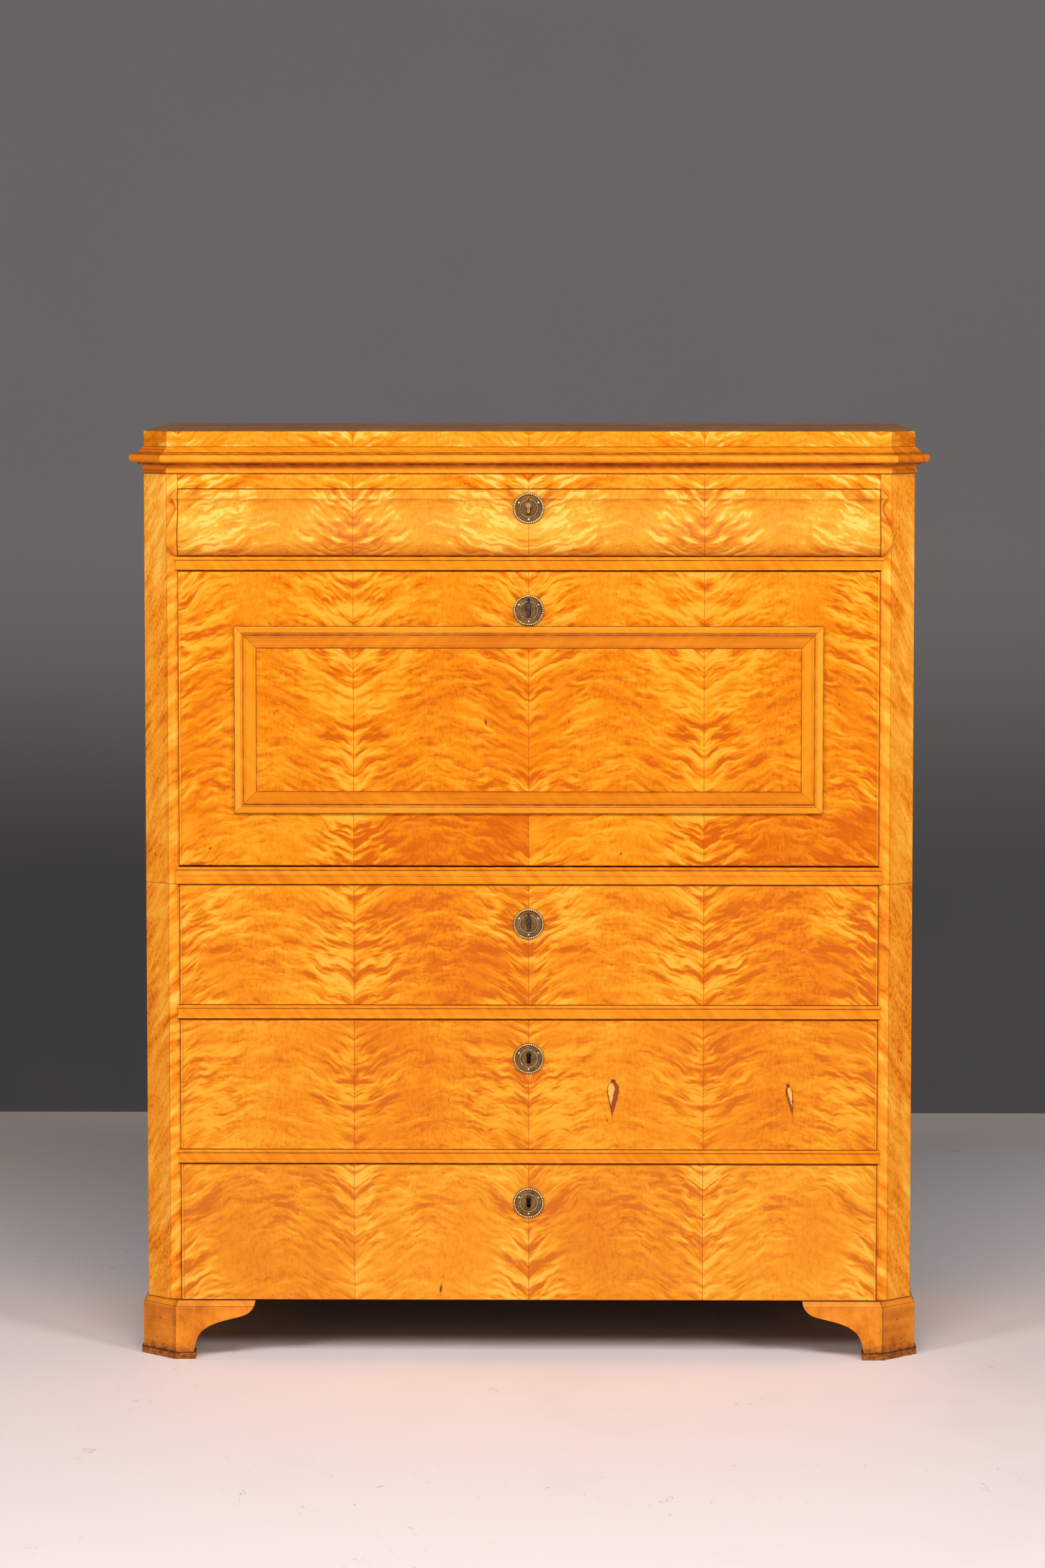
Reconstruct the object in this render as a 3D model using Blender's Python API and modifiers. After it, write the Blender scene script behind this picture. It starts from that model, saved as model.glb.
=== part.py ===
"""Fall front secretaire in birch: two stacked carcases with canted corners, four drawers and a writing flap.

Metres, +Z up, +X to the viewer's right, and the front faces -Y. The origin is on the floor under the middle
of the whole object, keys included. Most pieces hang from an empty on the plane of the posts' front faces, so
their y values count back from that plane.
"""

import math

import bmesh
import bpy
from mathutils import Matrix

MM = 0.001

# Fits
FIT = 0.3 * MM
OVERRUN = 4 * MM
UNION_OVERLAP = 1 * MM
WELD = 0.01 * MM
SMOOTH_ANGLE = math.radians(32)

# Case
CASE_WIDTH = 1107 * MM
CASE_DEPTH = 500 * MM
CANT = 35 * MM
POST_WIDTH = 50.5 * MM
POST_DEPTH = 50 * MM
SIDE_THICKNESS = 20 * MM
BACK_THICKNESS = 12 * MM
BACK_REBATE = 8 * MM

# Heights, from the floor up
FOOT_HEIGHT = 85 * MM
DRAWER_4_OPENING = 199.6 * MM
RAIL_HEIGHT = 20.4 * MM
DRAWER_3_OPENING = 189.8 * MM
DRAWER_2_OPENING = 174.8 * MM
WAIST_HEIGHT = 25.2 * MM
FALL_OPENING = 426.6 * MM
RAIL_1_HEIGHT = 19.6 * MM
TOP_DRAWER_OPENING = 97 * MM
FRIEZE_HEIGHT = 59.6 * MM
CORNICE_HEIGHT = 38.6 * MM
SLAB_THICKNESS = 22 * MM
BOTTOM_THICKNESS = 19 * MM
FRIEZE_THICKNESS = 24 * MM

# Applied mouldings: how far each stands out
CORNICE_REACH = 21 * MM
RAIL_REACH = 5 * MM
RAIL_1_REACH = 5.2 * MM
WAIST_REACH = 5.5 * MM
OGEE_REACH = 17.3 * MM
FLAP_FRAME_REACH = 6 * MM
FLAP_FRAME_WIDTH = 32 * MM
FLAP_FRAME_MARGIN = 80.5 * MM
FLAP_FRAME_RISE = 77.4 * MM

# Drawers
FRONT_PROUD = 5 * MM
FRONT_THICKNESS = 24 * MM
FRONT_EASING = 0.7 * MM
FRONT_SIDE_GAP = 0.8 * MM
FRONT_TOP_GAP = 0.9 * MM
FRONT_BOTTOM_GAP = 0.6 * MM
BOX_SIDE_GAP = 1.2 * MM
BOX_SIDE_THICKNESS = 11 * MM
BOX_BACK_THICKNESS = 10 * MM
BOX_HEADROOM = 9 * MM
BOX_END_GAP = 8 * MM
GUIDE_HEIGHT = 22 * MM
GROOVE_DEPTH = 5 * MM
GROOVE_RISE = 8 * MM
DRAWER_BOTTOM_THICKNESS = 6 * MM
DOVETAIL_COUNT = 4
DOVETAIL_LENGTH = 14 * MM
DOVETAIL_TIP_SHARE = 0.66
DOVETAIL_ROOT_SHARE = 0.48

# Flap and its heel stop
FALL_THICKNESS = 26 * MM
FALL_BOTTOM_GAP = 1.8 * MM
FALL_TOP_GAP = 1.3 * MM
FALL_ARRIS = 3 * MM
PIVOT_SETBACK = 8 * MM
HEEL_LENGTH = 40 * MM
HEEL_REBATE = 8 * MM
SHOULDER_DROP = 14 * MM
SWING_CLEARANCE = 0.5 * MM
PIN_RADIUS = 3.5 * MM
PIN_LENGTH = 30 * MM
DESK_THICKNESS = 18 * MM

# Gallery behind the flap
GALLERY_SETBACK = 210 * MM
GALLERY_THICKNESS = 9 * MM
GALLERY_CLEAR_HEIGHT = 96 * MM
CENTRE_BAY_WIDTH = 374 * MM
SMALL_FRONT_THICKNESS = 10 * MM
SMALL_WALL = 7 * MM
SMALL_FLOOR = 6 * MM
SMALL_GAP = 0.6 * MM
SMALL_HEADROOM = 6 * MM
KNOB_LENGTH = 14 * MM
KNOB_RADIUS = 8 * MM

# Lock furniture
ESCUTCHEON_DROP = 55.6 * MM
TOP_ESCUTCHEON_DROP = 26.5 * MM
ESCUTCHEON_RADIUS = 22.4 * MM
ESCUTCHEON_THICKNESS = 3.2 * MM
ESCUTCHEON_SEAT = 9.3 * MM
KEY_RISE = 5 * MM
KEYHOLE_HEAD_RADIUS = 3.95 * MM
KEYHOLE_SLOT_WIDTH = 6.2 * MM
KEYHOLE_REACH = 14.75 * MM
KEYHOLE_RIM = 1.3 * MM
KEYHOLE_RIM_RISE = 0.8 * MM
LOCK_DEPTH = 12.7 * MM
LOCK_WALL = 1.5 * MM
LOCK_PLATE = 2 * MM
LOCK_CASE_WIDTH = 35 * MM
LOCK_PLATE_WIDTH = 68 * MM
LOCK_MARGIN = 3.5 * MM
LOCK_FIT = 0.4 * MM
BOLT_WIDTH = 22 * MM
BOLT_THICKNESS = 6 * MM
BOLT_HEAD_LENGTH = 11 * MM
BOLT_TAIL_WIDTH = 8 * MM
BOLT_TAIL_THICKNESS = 2.2 * MM
BOLT_THROW = 8 * MM
BIT_REACH = 12 * MM
BIT_LENGTH = 5 * MM
BIT_THICKNESS = 2.6 * MM
BIT_CLEARANCE = 0.8 * MM
BARREL_RADIUS = 2.9 * MM
BARREL_BORE_RADIUS = 1.3 * MM
DRILL_PIN_RADIUS = 1 * MM
DRILL_PIN_LENGTH = 14 * MM
KEY_STANDOFF = 10 * MM
BOW_RADIUS = 9.5 * MM
BOW_WIRE_RADIUS = 2.4 * MM
TALL_BOW_SHARE = 1.24
COLLAR_RADIUS = 4.1 * MM
COLLAR_LENGTH = 5.3 * MM
COLLAR_CHAMFER = 1.4 * MM

# Feet
BRACKET_LENGTH = 89 * MM
FOOT_FACE = 18 * MM
FOOT_CANT = 45 * MM
BRACKET_THICKNESS = 24 * MM
BRACKET_SETBACK = 0.5 * MM
SIDE_BRACKET_GAP = 44 * MM
FOOT_BLOCK = 78 * MM
FOOT_REACH = 7.5 * MM
TOE_REACH = 10 * MM
TOE_HEIGHT = 9.8 * MM
TOE_EASING = 0.5 * MM
FOOT_BEVEL_HEIGHT = 10.4 * MM

# Counts
CURVE_STEPS = 5
FINE_STEPS = 3
OGEE_STEPS = 9
TURN_STEPS = 24
PIN_SIDES = 16
RING_SIDES = 6

# Outlines, as shares of a height and a reach. A run is a straight step to one point, or a cubic curve given by
# its two handles and its end.
OGEE_SHARES = (
    (0.0, 0.03),
    (0.114, 0.549),
    (0.142, 0.549),
    ((0.166, 0.29), (0.25, 0.139), (0.319, 0.15)),
    ((0.416, 0.318), (0.593, 1.0), (0.721, 1.0)),
    ((0.832, 1.0), (0.946, 0.52), (1.0, 0.03)),
)
CORNICE_SHARES = (
    (0.0, 0.05),
    ((0.05, 0.1), (0.15, 0.3), (0.2, 0.46)),
    (0.212, 0.51),
    (0.25, 0.51),
    (0.262, 0.72),
    ((0.3, 0.98), (0.35, 1.0), (0.41, 1.0)),
    ((0.48, 1.0), (0.53, 0.95), (0.56, 0.8)),
    (0.6, 0.44),
    (0.66, 0.4),
    (0.675, 0.16),
    (0.71, 0.07),
    ((0.77, 0.05), (0.81, 0.06), (0.85, 0.1)),
    ((0.88, 0.16), (0.94, 0.16), (0.97, 0.08)),
    (1.0, 0.05),
)
RAIL_SHARES = (
    (0.0, 0.66),
    ((0.06, 1.0), (0.19, 1.0), (0.25, 0.76)),
    (0.27, 0.5),
    ((0.42, 0.42), (0.62, 0.42), (0.78, 0.5)),
    (0.82, 0.64),
    ((0.88, 0.78), (0.95, 0.76), (1.0, 0.6)),
)
RAIL_1_SHARES = (
    (0.0, 0.7),
    ((0.06, 1.0), (0.2, 1.0), (0.26, 0.84)),
    (0.28, 0.5),
    (1.0, 0.5),
)
WAIST_SHARES = (
    (0.0, 0.72),
    ((0.04, 1.0), (0.11, 1.0), (0.15, 0.84)),
    (0.165, 0.52),
    ((0.26, 0.5), (0.34, 0.54), (0.38, 0.72)),
    (0.4, 0.78),
    (1.0, 0.72),
)
FLAP_FRAME_SHARES = (
    (0.0, 0.0),
    (0.0, 0.72),
    ((0.04, 1.0), (0.14, 1.04), (0.22, 1.0)),
    ((0.28, 0.97), (0.33, 0.88), (0.365, 0.74)),
    (0.38, 0.6),
    (0.41, 0.67),
    (0.49, 0.66),
    (0.52, 0.5),
    ((0.64, 0.4), (0.77, 0.32), (0.88, 0.28)),
    (0.89, 0.18),
    (1.0, 0.15),
    (1.0, 0.0),
)
BRACKET_SHARES = (
    (0.0, 0.115),
    ((0.026, 0.29), (0.067, 0.44), (0.173, 0.508)),
    ((0.303, 0.62), (0.54, 0.67), (0.748, 0.721)),
    ((0.899, 0.76), (0.994, 0.85), (1.0, 1.0)),
)
ESCUTCHEON_SHARES = (
    (0.0, 0.42),
    (0.49, 0.52),
    (0.52, 0.78),
    (0.6, 0.78),
    (0.63, 0.56),
    (0.83, 0.6),
    (0.86, 0.86),
    (0.92, 1.0),
    (0.98, 0.8),
    (1.0, 0.5),
    (1.0, 0.0),
    (0.0, 0.0),
)
KNOB_SHARES = (
    (0.0, 1.0),
    ((0.6, 1.0), (1.0, 0.9), (1.0, 0.72)),
    ((1.0, 0.52), (0.75, 0.45), (0.5, 0.36)),
    (0.5, 0.0),
    (0.0, 0.0),
)

# Worked-out planes and heights
HALF_WIDTH = CASE_WIDTH / 2
HALF_OPENING = HALF_WIDTH - POST_WIDTH
INNER_HALF = HALF_WIDTH - SIDE_THICKNESS
BACK_FACE = CASE_DEPTH - BACK_THICKNESS
DRAWER_4_LOW = FOOT_HEIGHT
RAIL_3_LOW = DRAWER_4_LOW + DRAWER_4_OPENING
DRAWER_3_LOW = RAIL_3_LOW + RAIL_HEIGHT
RAIL_2_LOW = DRAWER_3_LOW + DRAWER_3_OPENING
DRAWER_2_LOW = RAIL_2_LOW + RAIL_HEIGHT
WAIST_LOW = DRAWER_2_LOW + DRAWER_2_OPENING
FALL_LOW = WAIST_LOW + WAIST_HEIGHT
RAIL_1_LOW = FALL_LOW + FALL_OPENING
TOP_DRAWER_LOW = RAIL_1_LOW + RAIL_1_HEIGHT
FRIEZE_LOW = TOP_DRAWER_LOW + TOP_DRAWER_OPENING
SLAB_LOW = FRIEZE_LOW + FRIEZE_HEIGHT
CORNICE_LOW = SLAB_LOW - CORNICE_HEIGHT
HEIGHT = SLAB_LOW + SLAB_THICKNESS
DRAWER_BACK = FRONT_THICKNESS - FRONT_PROUD
FALL_BACK = FALL_THICKNESS - FRONT_PROUD
FALL_HEIGHT = FALL_OPENING - FALL_BOTTOM_GAP - FALL_TOP_GAP
PIVOT_HEIGHT = FALL_LOW + FALL_BOTTOM_GAP + HEEL_LENGTH
PIVOT_TO_FACE = PIVOT_SETBACK + FRONT_PROUD
PIVOT_TO_INSIDE = FALL_THICKNESS - PIVOT_TO_FACE
DESK_TOP = PIVOT_HEIGHT + PIVOT_TO_INSIDE
FLAP_FRAME_TOP = FALL_OPENING - FALL_TOP_GAP - ESCUTCHEON_DROP - ESCUTCHEON_RADIUS - FIT
FLAP_FRAME_HEIGHT = FLAP_FRAME_TOP - FLAP_FRAME_RISE
FLAP_FRAME_HALF = HALF_OPENING - FLAP_FRAME_MARGIN
SIDE_BRACKET_LENGTH = (CASE_DEPTH - SIDE_BRACKET_GAP) / 2 - FOOT_BLOCK
BOW_LENGTH = 2 * (BOW_RADIUS + BOW_WIRE_RADIUS)
KEY_FRONT = ESCUTCHEON_SEAT + FIT + ESCUTCHEON_THICKNESS + KEY_STANDOFF + BOW_LENGTH
FRONT_PLANE = (KEY_FRONT - CASE_DEPTH) / 2

# Plan of the case: the outer faces from the left back corner round the front to the right back corner
CASE_PATH = (
    (-HALF_WIDTH, CASE_DEPTH),
    (-HALF_WIDTH, CANT),
    (-HALF_WIDTH + CANT, 0),
    (HALF_WIDTH - CANT, 0),
    (HALF_WIDTH, CANT),
    (HALF_WIDTH, CASE_DEPTH),
)

for stale in list(bpy.data.objects):
    bpy.data.objects.remove(stale)

PARTS = bpy.data.collections.new("fall_front_secretaire")
CUTTERS = bpy.data.collections.new("secretaire_cutters")
bpy.context.scene.collection.children.link(PARTS)
bpy.context.scene.collection.children.link(CUTTERS)


def material(name, colour, roughness, metallic=0.0):
    """A plain Principled material."""
    made = bpy.data.materials.new(name)
    made.use_nodes = True
    shader = made.node_tree.nodes["Principled BSDF"]
    shader.inputs["Base Color"].default_value = (*colour, 1.0)
    shader.inputs["Roughness"].default_value = roughness
    shader.inputs["Metallic"].default_value = metallic
    made.diffuse_color = (*colour, 1.0)
    return made


FLAME_BIRCH = material("flame_birch", (0.83, 0.37, 0.06), 0.32)
STRAIGHT_BIRCH = material("straight_birch", (0.76, 0.30, 0.045), 0.32)
INNER_PINE = material("inner_pine", (0.72, 0.47, 0.24), 0.6)
DARK_BRASS = material("dark_brass", (0.33, 0.22, 0.10), 0.38, 1.0)
BRIGHT_BRASS = material("bright_brass", (0.80, 0.58, 0.26), 0.3, 1.0)
IRON = material("iron", (0.14, 0.12, 0.11), 0.45, 1.0)


def empty(name, parent, location):
    """An empty that carries pieces, often on a joint's axis."""
    made = bpy.data.objects.new(name, None)
    made.parent = parent
    made.location = location
    PARTS.objects.link(made)
    return made


def add(name, mesh, parent, finish=None, location=(0, 0, 0), rotation=(0, 0, 0)):
    """Places a mesh: a part if it has a finish, or else a hidden cutter or a piece to be joined on."""
    mesh.name = name
    made = bpy.data.objects.new(name, mesh)
    made.parent = parent
    made.location = location
    made.rotation_euler = rotation
    if finish is None:
        CUTTERS.objects.link(made)
        made.hide_render = True
        made.display_type = "WIRE"
    else:
        PARTS.objects.link(made)
        mesh.materials.append(finish)
    return made


def booleans(target, operation, tools):
    """Adds one exact Boolean for each tool."""
    for tool in tools:
        modifier = target.modifiers.new(tool.name, "BOOLEAN")
        modifier.operation = operation
        modifier.solver = "EXACT"
        modifier.object = tool


def unite(target, *tools):
    booleans(target, "UNION", tools)


def cut(target, *tools):
    booleans(target, "DIFFERENCE", tools)


def finish_mesh(shape):
    """Turns a bmesh into a mesh whose faces point out and whose curves are smooth."""
    bmesh.ops.recalc_face_normals(shape, faces=shape.faces)
    mesh = bpy.data.meshes.new("shape")
    shape.to_mesh(mesh)
    shape.free()
    mesh.shade_smooth()
    mesh.set_sharp_from_angle(angle=SMOOTH_ANGLE)
    return mesh


def box_mesh(low, high):
    """A box between two opposite corners."""
    shape = bmesh.new()
    bmesh.ops.create_cube(shape, size=1)
    size = [b - a for a, b in zip(low, high)]
    middle = [(a + b) / 2 for a, b in zip(low, high)]
    bmesh.ops.scale(shape, vec=size, verts=shape.verts)
    bmesh.ops.translate(shape, vec=middle, verts=shape.verts)
    return finish_mesh(shape)


def mirrored_box(side, low, high):
    """A box given for the right-hand side, or its mirror image when side is -1."""
    near, far = sorted((side * low[0], side * high[0]))
    return box_mesh((near, *low[1:]), (far, *high[1:]))


def rod_mesh(radius, low, high, along, sides=PIN_SIDES):
    """A cylinder from low to high on the X or the Y axis."""
    shape = bmesh.new()
    bmesh.ops.create_cone(
        shape, cap_ends=True, segments=sides, radius1=radius, radius2=radius, depth=high - low
    )
    turn = Matrix.Rotation(math.pi / 2, 4, "Y" if along == "X" else "X")
    shift = Matrix.Translation(((low + high) / 2, 0, 0) if along == "X" else (0, (low + high) / 2, 0))
    bmesh.ops.transform(shape, matrix=shift @ turn, verts=shape.verts)
    return finish_mesh(shape)


def stack_mesh(levels):
    """A solid lofted up through plan outlines. Each level is a height and its corners."""
    shape = bmesh.new()
    loops = [[shape.verts.new((x, y, height)) for x, y in corners] for height, corners in levels]
    shape.faces.new(loops[0])
    shape.faces.new(loops[-1])
    for lower, upper in zip(loops, loops[1:]):
        for i in range(len(lower)):
            j = (i + 1) % len(lower)
            shape.faces.new((lower[i], lower[j], upper[j], upper[i]))
    bmesh.ops.remove_doubles(shape, verts=shape.verts, dist=WELD)
    return finish_mesh(shape)


def frame_mesh(loops):
    """A closed frame: a moulding whose section runs round a ring of corners and comes back to itself."""
    shape = bmesh.new()
    rings = [[shape.verts.new(corner) for corner in loop] for loop in loops]
    for ring, following in zip(rings, rings[1:] + rings[:1]):
        for i in range(len(ring)):
            j = (i + 1) % len(ring)
            shape.faces.new((ring[i], ring[j], following[j], following[i]))
    return finish_mesh(shape)


def plate_mesh(outline, low, high, across):
    """A flat outline as a filled curve, extruded from low to high across the X, Y or Z axis."""
    curve = bpy.data.curves.new("outline", "CURVE")
    curve.dimensions = "2D"
    curve.fill_mode = "BOTH"
    curve.extrude = (high - low) / 2
    spline = curve.splines.new("POLY")
    spline.points.add(len(outline) - 1)
    for point, (u, v) in zip(spline.points, outline):
        point.co = (u, v, 0, 1)
    spline.use_cyclic_u = True
    holder = bpy.data.objects.new("outline", curve)
    bpy.context.scene.collection.objects.link(holder)
    graph = bpy.context.evaluated_depsgraph_get()
    flat = bpy.data.meshes.new_from_object(holder.evaluated_get(graph))
    bpy.data.objects.remove(holder)
    shape = bmesh.new()
    shape.from_mesh(flat)
    bmesh.ops.remove_doubles(shape, verts=shape.verts, dist=WELD)
    turns = {
        "X": Matrix(((0, 0, 1), (1, 0, 0), (0, 1, 0))),
        "Y": Matrix(((1, 0, 0), (0, 0, -1), (0, 1, 0))),
        "Z": Matrix.Identity(3),
    }
    middle = (low + high) / 2
    shift = {"X": (middle, 0, 0), "Y": (0, middle, 0), "Z": (0, 0, middle)}
    bmesh.ops.transform(shape, matrix=Matrix.Translation(shift[across]) @ turns[across].to_4x4(), verts=shape.verts)
    return finish_mesh(shape)


def turned(name, outline, parent, finish=None, location=(0, 0, 0), steps=TURN_STEPS):
    """A piece turned on a lathe, its axis towards the front. The outline is (radius, distance forward)."""
    mesh = bpy.data.meshes.new(name)
    points = [(radius, 0, forward) for radius, forward in outline]
    mesh.from_pydata(points, [(i, i + 1) for i in range(len(points) - 1)], [])
    made = add(name, mesh, parent, finish, location, (math.pi / 2, 0, 0))
    screw = made.modifiers.new("lathe", "SCREW")
    screw.axis = "Z"
    screw.steps = steps
    screw.render_steps = steps
    screw.use_merge_vertices = True
    screw.merge_threshold = WELD
    screw.use_smooth_shade = True
    return made


def curve_points(start, handle, other, end, steps):
    """Points on a cubic curve, without its start."""
    made = []
    for step in range(1, steps + 1):
        t = step / steps
        weights = ((1 - t) ** 3, 3 * t * (1 - t) ** 2, 3 * t * t * (1 - t), t**3)
        corners = (start, handle, other, end)
        made.append(tuple(sum(w * c[k] for w, c in zip(weights, corners)) for k in range(2)))
    return made


def traced(shares, first_size, second_size, steps=CURVE_STEPS):
    """An outline from its shares, as lengths."""
    points = []
    for run in shares:
        if isinstance(run[0], tuple):
            points += curve_points(points[-1], *run, steps)
        else:
            points.append(run)
    return [(first * first_size, second * second_size) for first, second in points]


def arc(centre, radius, start, end, steps=CURVE_STEPS):
    """Points on a round arc between two angles in degrees."""
    angles = [math.radians(start + (end - start) * i / steps) for i in range(steps + 1)]
    return [(centre[0] + radius * math.cos(a), centre[1] + radius * math.sin(a)) for a in angles]


def offset_path(path, reach):
    """A path moved outward by reach, with mitred corners. The path runs anticlockwise seen from above."""
    normals = []
    for (x0, y0), (x1, y1) in zip(path, path[1:]):
        length = math.hypot(x1 - x0, y1 - y0)
        normals.append(((y1 - y0) / length, (x0 - x1) / length))
    moved = []
    for i, (x, y) in enumerate(path):
        before = normals[max(i - 1, 0)]
        after = normals[min(i, len(normals) - 1)]
        scale = reach / (1 + before[0] * after[0] + before[1] * after[1])
        moved.append((x + scale * (before[0] + after[0]), y + scale * (before[1] + after[1])))
    return moved


def sided(side, outline):
    """An outline given for the left-hand side, or its mirror image when side is 1."""
    return [(-side * x, y) for x, y in outline]


CASE = empty("case_front", None, (0, FRONT_PLANE, 0))


def side_panel(name, side, low, high):
    """A carcase side behind its post, rebated at the back for the back panel."""
    outline = (
        (-HALF_WIDTH, POST_DEPTH + FIT),
        (-HALF_WIDTH, CASE_DEPTH),
        (-INNER_HALF - BACK_REBATE, CASE_DEPTH),
        (-INNER_HALF - BACK_REBATE, BACK_FACE),
        (-INNER_HALF, BACK_FACE),
        (-INNER_HALF, POST_DEPTH + FIT),
    )
    plan = sided(side, outline)
    add(name, stack_mesh([(low, plan), (high, plan)]), CASE, FLAME_BIRCH)


def post(name, side, low, high):
    """A corner post with its canted corner."""
    outline = (
        (-HALF_WIDTH, POST_DEPTH),
        (-HALF_WIDTH, CANT),
        (-HALF_WIDTH + CANT, 0),
        (-HALF_OPENING, 0),
        (-HALF_OPENING, POST_DEPTH),
    )
    plan = sided(side, outline)
    return add(name, stack_mesh([(low, plan), (high, plan)]), CASE, FLAME_BIRCH)


def ogee_end(side):
    """The fixed end of the ogee front: the drawer's profile, mitred round on to the post."""
    levels = []
    for drop, reach in traced(OGEE_SHARES, TOP_DRAWER_OPENING - FIT, OGEE_REACH, OGEE_STEPS):
        outline = (
            (-HALF_OPENING, UNION_OVERLAP),
            (-HALF_OPENING - reach, UNION_OVERLAP),
            (-HALF_OPENING - reach, -reach),
            (-HALF_OPENING, -reach),
        )
        levels.append((FRIEZE_LOW - drop, sided(side, outline)))
    return add("ogee_end", stack_mesh(levels), CASE)


def pivot_bore(side):
    """The hole in a post for the flap's pin."""
    reach = HALF_OPENING + PIN_LENGTH / 2 + FIT
    ends = sorted((side * (HALF_OPENING - OVERRUN), side * reach))
    bore = add("pivot_bore", rod_mesh(PIN_RADIUS + FIT, *ends, "X"), CASE)
    bore.location = (0, PIVOT_SETBACK, PIVOT_HEIGHT)
    return bore


def posts_and_sides():
    for side, word in ((-1, "left"), (1, "right")):
        side_panel(f"lower_side_{word}", side, FOOT_HEIGHT + FIT, WAIST_LOW - FIT)
        side_panel(f"upper_side_{word}", side, WAIST_LOW, SLAB_LOW - FIT)
        post(f"lower_post_{word}", side, FOOT_HEIGHT + FIT, WAIST_LOW - FIT)
        upper = post(f"upper_post_{word}", side, WAIST_LOW, SLAB_LOW - FIT)
        unite(upper, ogee_end(side))
        cut(upper, pivot_bore(side))


def back_panels():
    """Thin backs set in the rebates of the sides."""
    half = INNER_HALF + BACK_REBATE - FIT
    for name, low, high in (
        ("lower_back", FOOT_HEIGHT + FIT, WAIST_LOW - FIT),
        ("upper_back", WAIST_LOW, SLAB_LOW - FIT),
    ):
        mesh = box_mesh((-half, BACK_FACE + FIT, low), (half, CASE_DEPTH, high))
        add(name, mesh, CASE, INNER_PINE)


def board_plan(front):
    """A full-depth board: as wide as the opening between the posts, and as the case behind them."""
    narrow = HALF_OPENING - FIT
    wide = INNER_HALF - FIT
    behind = POST_DEPTH + FIT
    back = BACK_FACE - FIT
    half = ((-wide, back), (-wide, behind), (-narrow, behind), (-narrow, front))
    return list(half) + [(-x, y) for x, y in reversed(half)]


def drawer_guides(top):
    """Strips between the drawer and the case side, on top of a board."""
    made = []
    for side in (-1, 1):
        low = (HALF_OPENING, POST_DEPTH + 2 * FIT, top - UNION_OVERLAP)
        high = (INNER_HALF - 2 * FIT, BACK_FACE - 2 * FIT, top + GUIDE_HEIGHT)
        made.append(add("drawer_guide", mirrored_box(side, low, high), CASE))
    return made


def nosing(low, height, reach, shares):
    """The moulded strip on the front of a board. Its ends return on to the posts."""
    levels = []
    for drop, out in traced(shares, height, reach, FINE_STEPS):
        half = HALF_OPENING + out
        levels.append((low + height - drop, [(-half, -FIT), (-half, -out), (half, -out), (half, -FIT)]))
    return add("nosing", stack_mesh(levels), CASE)


def bolt_rear(back):
    """The plane of a bolt's back face, for a lock let into a front whose back face is at back."""
    return back - FIT - LOCK_PLATE - LOCK_FIT


def bolt_mortise(underside, back):
    """The hole above a lock that takes its bolt."""
    half = BOLT_WIDTH / 2 + 2 * FIT
    rear = bolt_rear(back) + 2 * FIT
    low = (-half, rear - BOLT_THICKNESS - 4 * FIT, underside - OVERRUN)
    high = (half, rear, underside + BOLT_THROW + FIT)
    return add("bolt_mortise", box_mesh(low, high), CASE)


def moulded_board(name, low, height, reach, shares, lock_back, guides=True):
    """A dust board with its moulded front strip, its drawer guides and the mortise for the lock below."""
    plan = board_plan(-FIT - UNION_OVERLAP)
    board = add(name, stack_mesh([(low, plan), (low + height, plan)]), CASE, STRAIGHT_BIRCH)
    unite(board, nosing(low, height, reach, shares))
    if guides:
        unite(board, *drawer_guides(low + height))
    cut(board, bolt_mortise(low, lock_back))


def boards():
    moulded_board("divider_3", RAIL_3_LOW, RAIL_HEIGHT, RAIL_REACH, RAIL_SHARES, DRAWER_BACK)
    moulded_board("divider_2", RAIL_2_LOW, RAIL_HEIGHT, RAIL_REACH, RAIL_SHARES, DRAWER_BACK)
    moulded_board("waist_board", WAIST_LOW, WAIST_HEIGHT, WAIST_REACH, WAIST_SHARES, DRAWER_BACK, False)
    moulded_board("divider_1", RAIL_1_LOW, RAIL_1_HEIGHT, RAIL_1_REACH, RAIL_1_SHARES, FALL_BACK)
    low = FOOT_HEIGHT + FIT
    plan = board_plan(DRAWER_BACK + FIT)
    levels = [(low, plan), (FOOT_HEIGHT + BOTTOM_THICKNESS, plan)]
    floor = add("bottom_board", stack_mesh(levels), CASE, INNER_PINE)
    unite(floor, *drawer_guides(FOOT_HEIGHT + BOTTOM_THICKNESS))


def frieze_and_top():
    """The frieze rail over the top drawer, the moulded cornice round it and the top slab."""
    half = HALF_OPENING - FIT
    mesh = box_mesh((-half, 0, FRIEZE_LOW), (half, FRIEZE_THICKNESS, SLAB_LOW - FIT))
    frieze = add("frieze_rail", mesh, CASE, FLAME_BIRCH)
    cut(frieze, bolt_mortise(FRIEZE_LOW, DRAWER_BACK))

    inner = list(reversed(offset_path(CASE_PATH, FIT)))
    levels = []
    for drop, reach in traced(CORNICE_SHARES, CORNICE_HEIGHT, CORNICE_REACH):
        levels.append((SLAB_LOW - FIT - drop, offset_path(CASE_PATH, reach) + inner))
    add("cornice_moulding", stack_mesh(levels), CASE, STRAIGHT_BIRCH)

    slab = stack_mesh([(SLAB_LOW, CASE_PATH), (HEIGHT, CASE_PATH)])
    top = add("top_board", slab, CASE, FLAME_BIRCH)
    easing = top.modifiers.new("easing", "BEVEL")
    easing.width = FRONT_EASING
    easing.segments = 1


def foot_levels():
    """Heights and reaches of a foot from its bevelled top to its toe."""
    return (
        (FOOT_HEIGHT, 0),
        (FOOT_HEIGHT - FOOT_BEVEL_HEIGHT, FOOT_REACH),
        (TOE_HEIGHT, FOOT_REACH),
        (TOE_HEIGHT - TOE_EASING, TOE_REACH),
        (0, TOE_REACH),
    )


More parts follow.
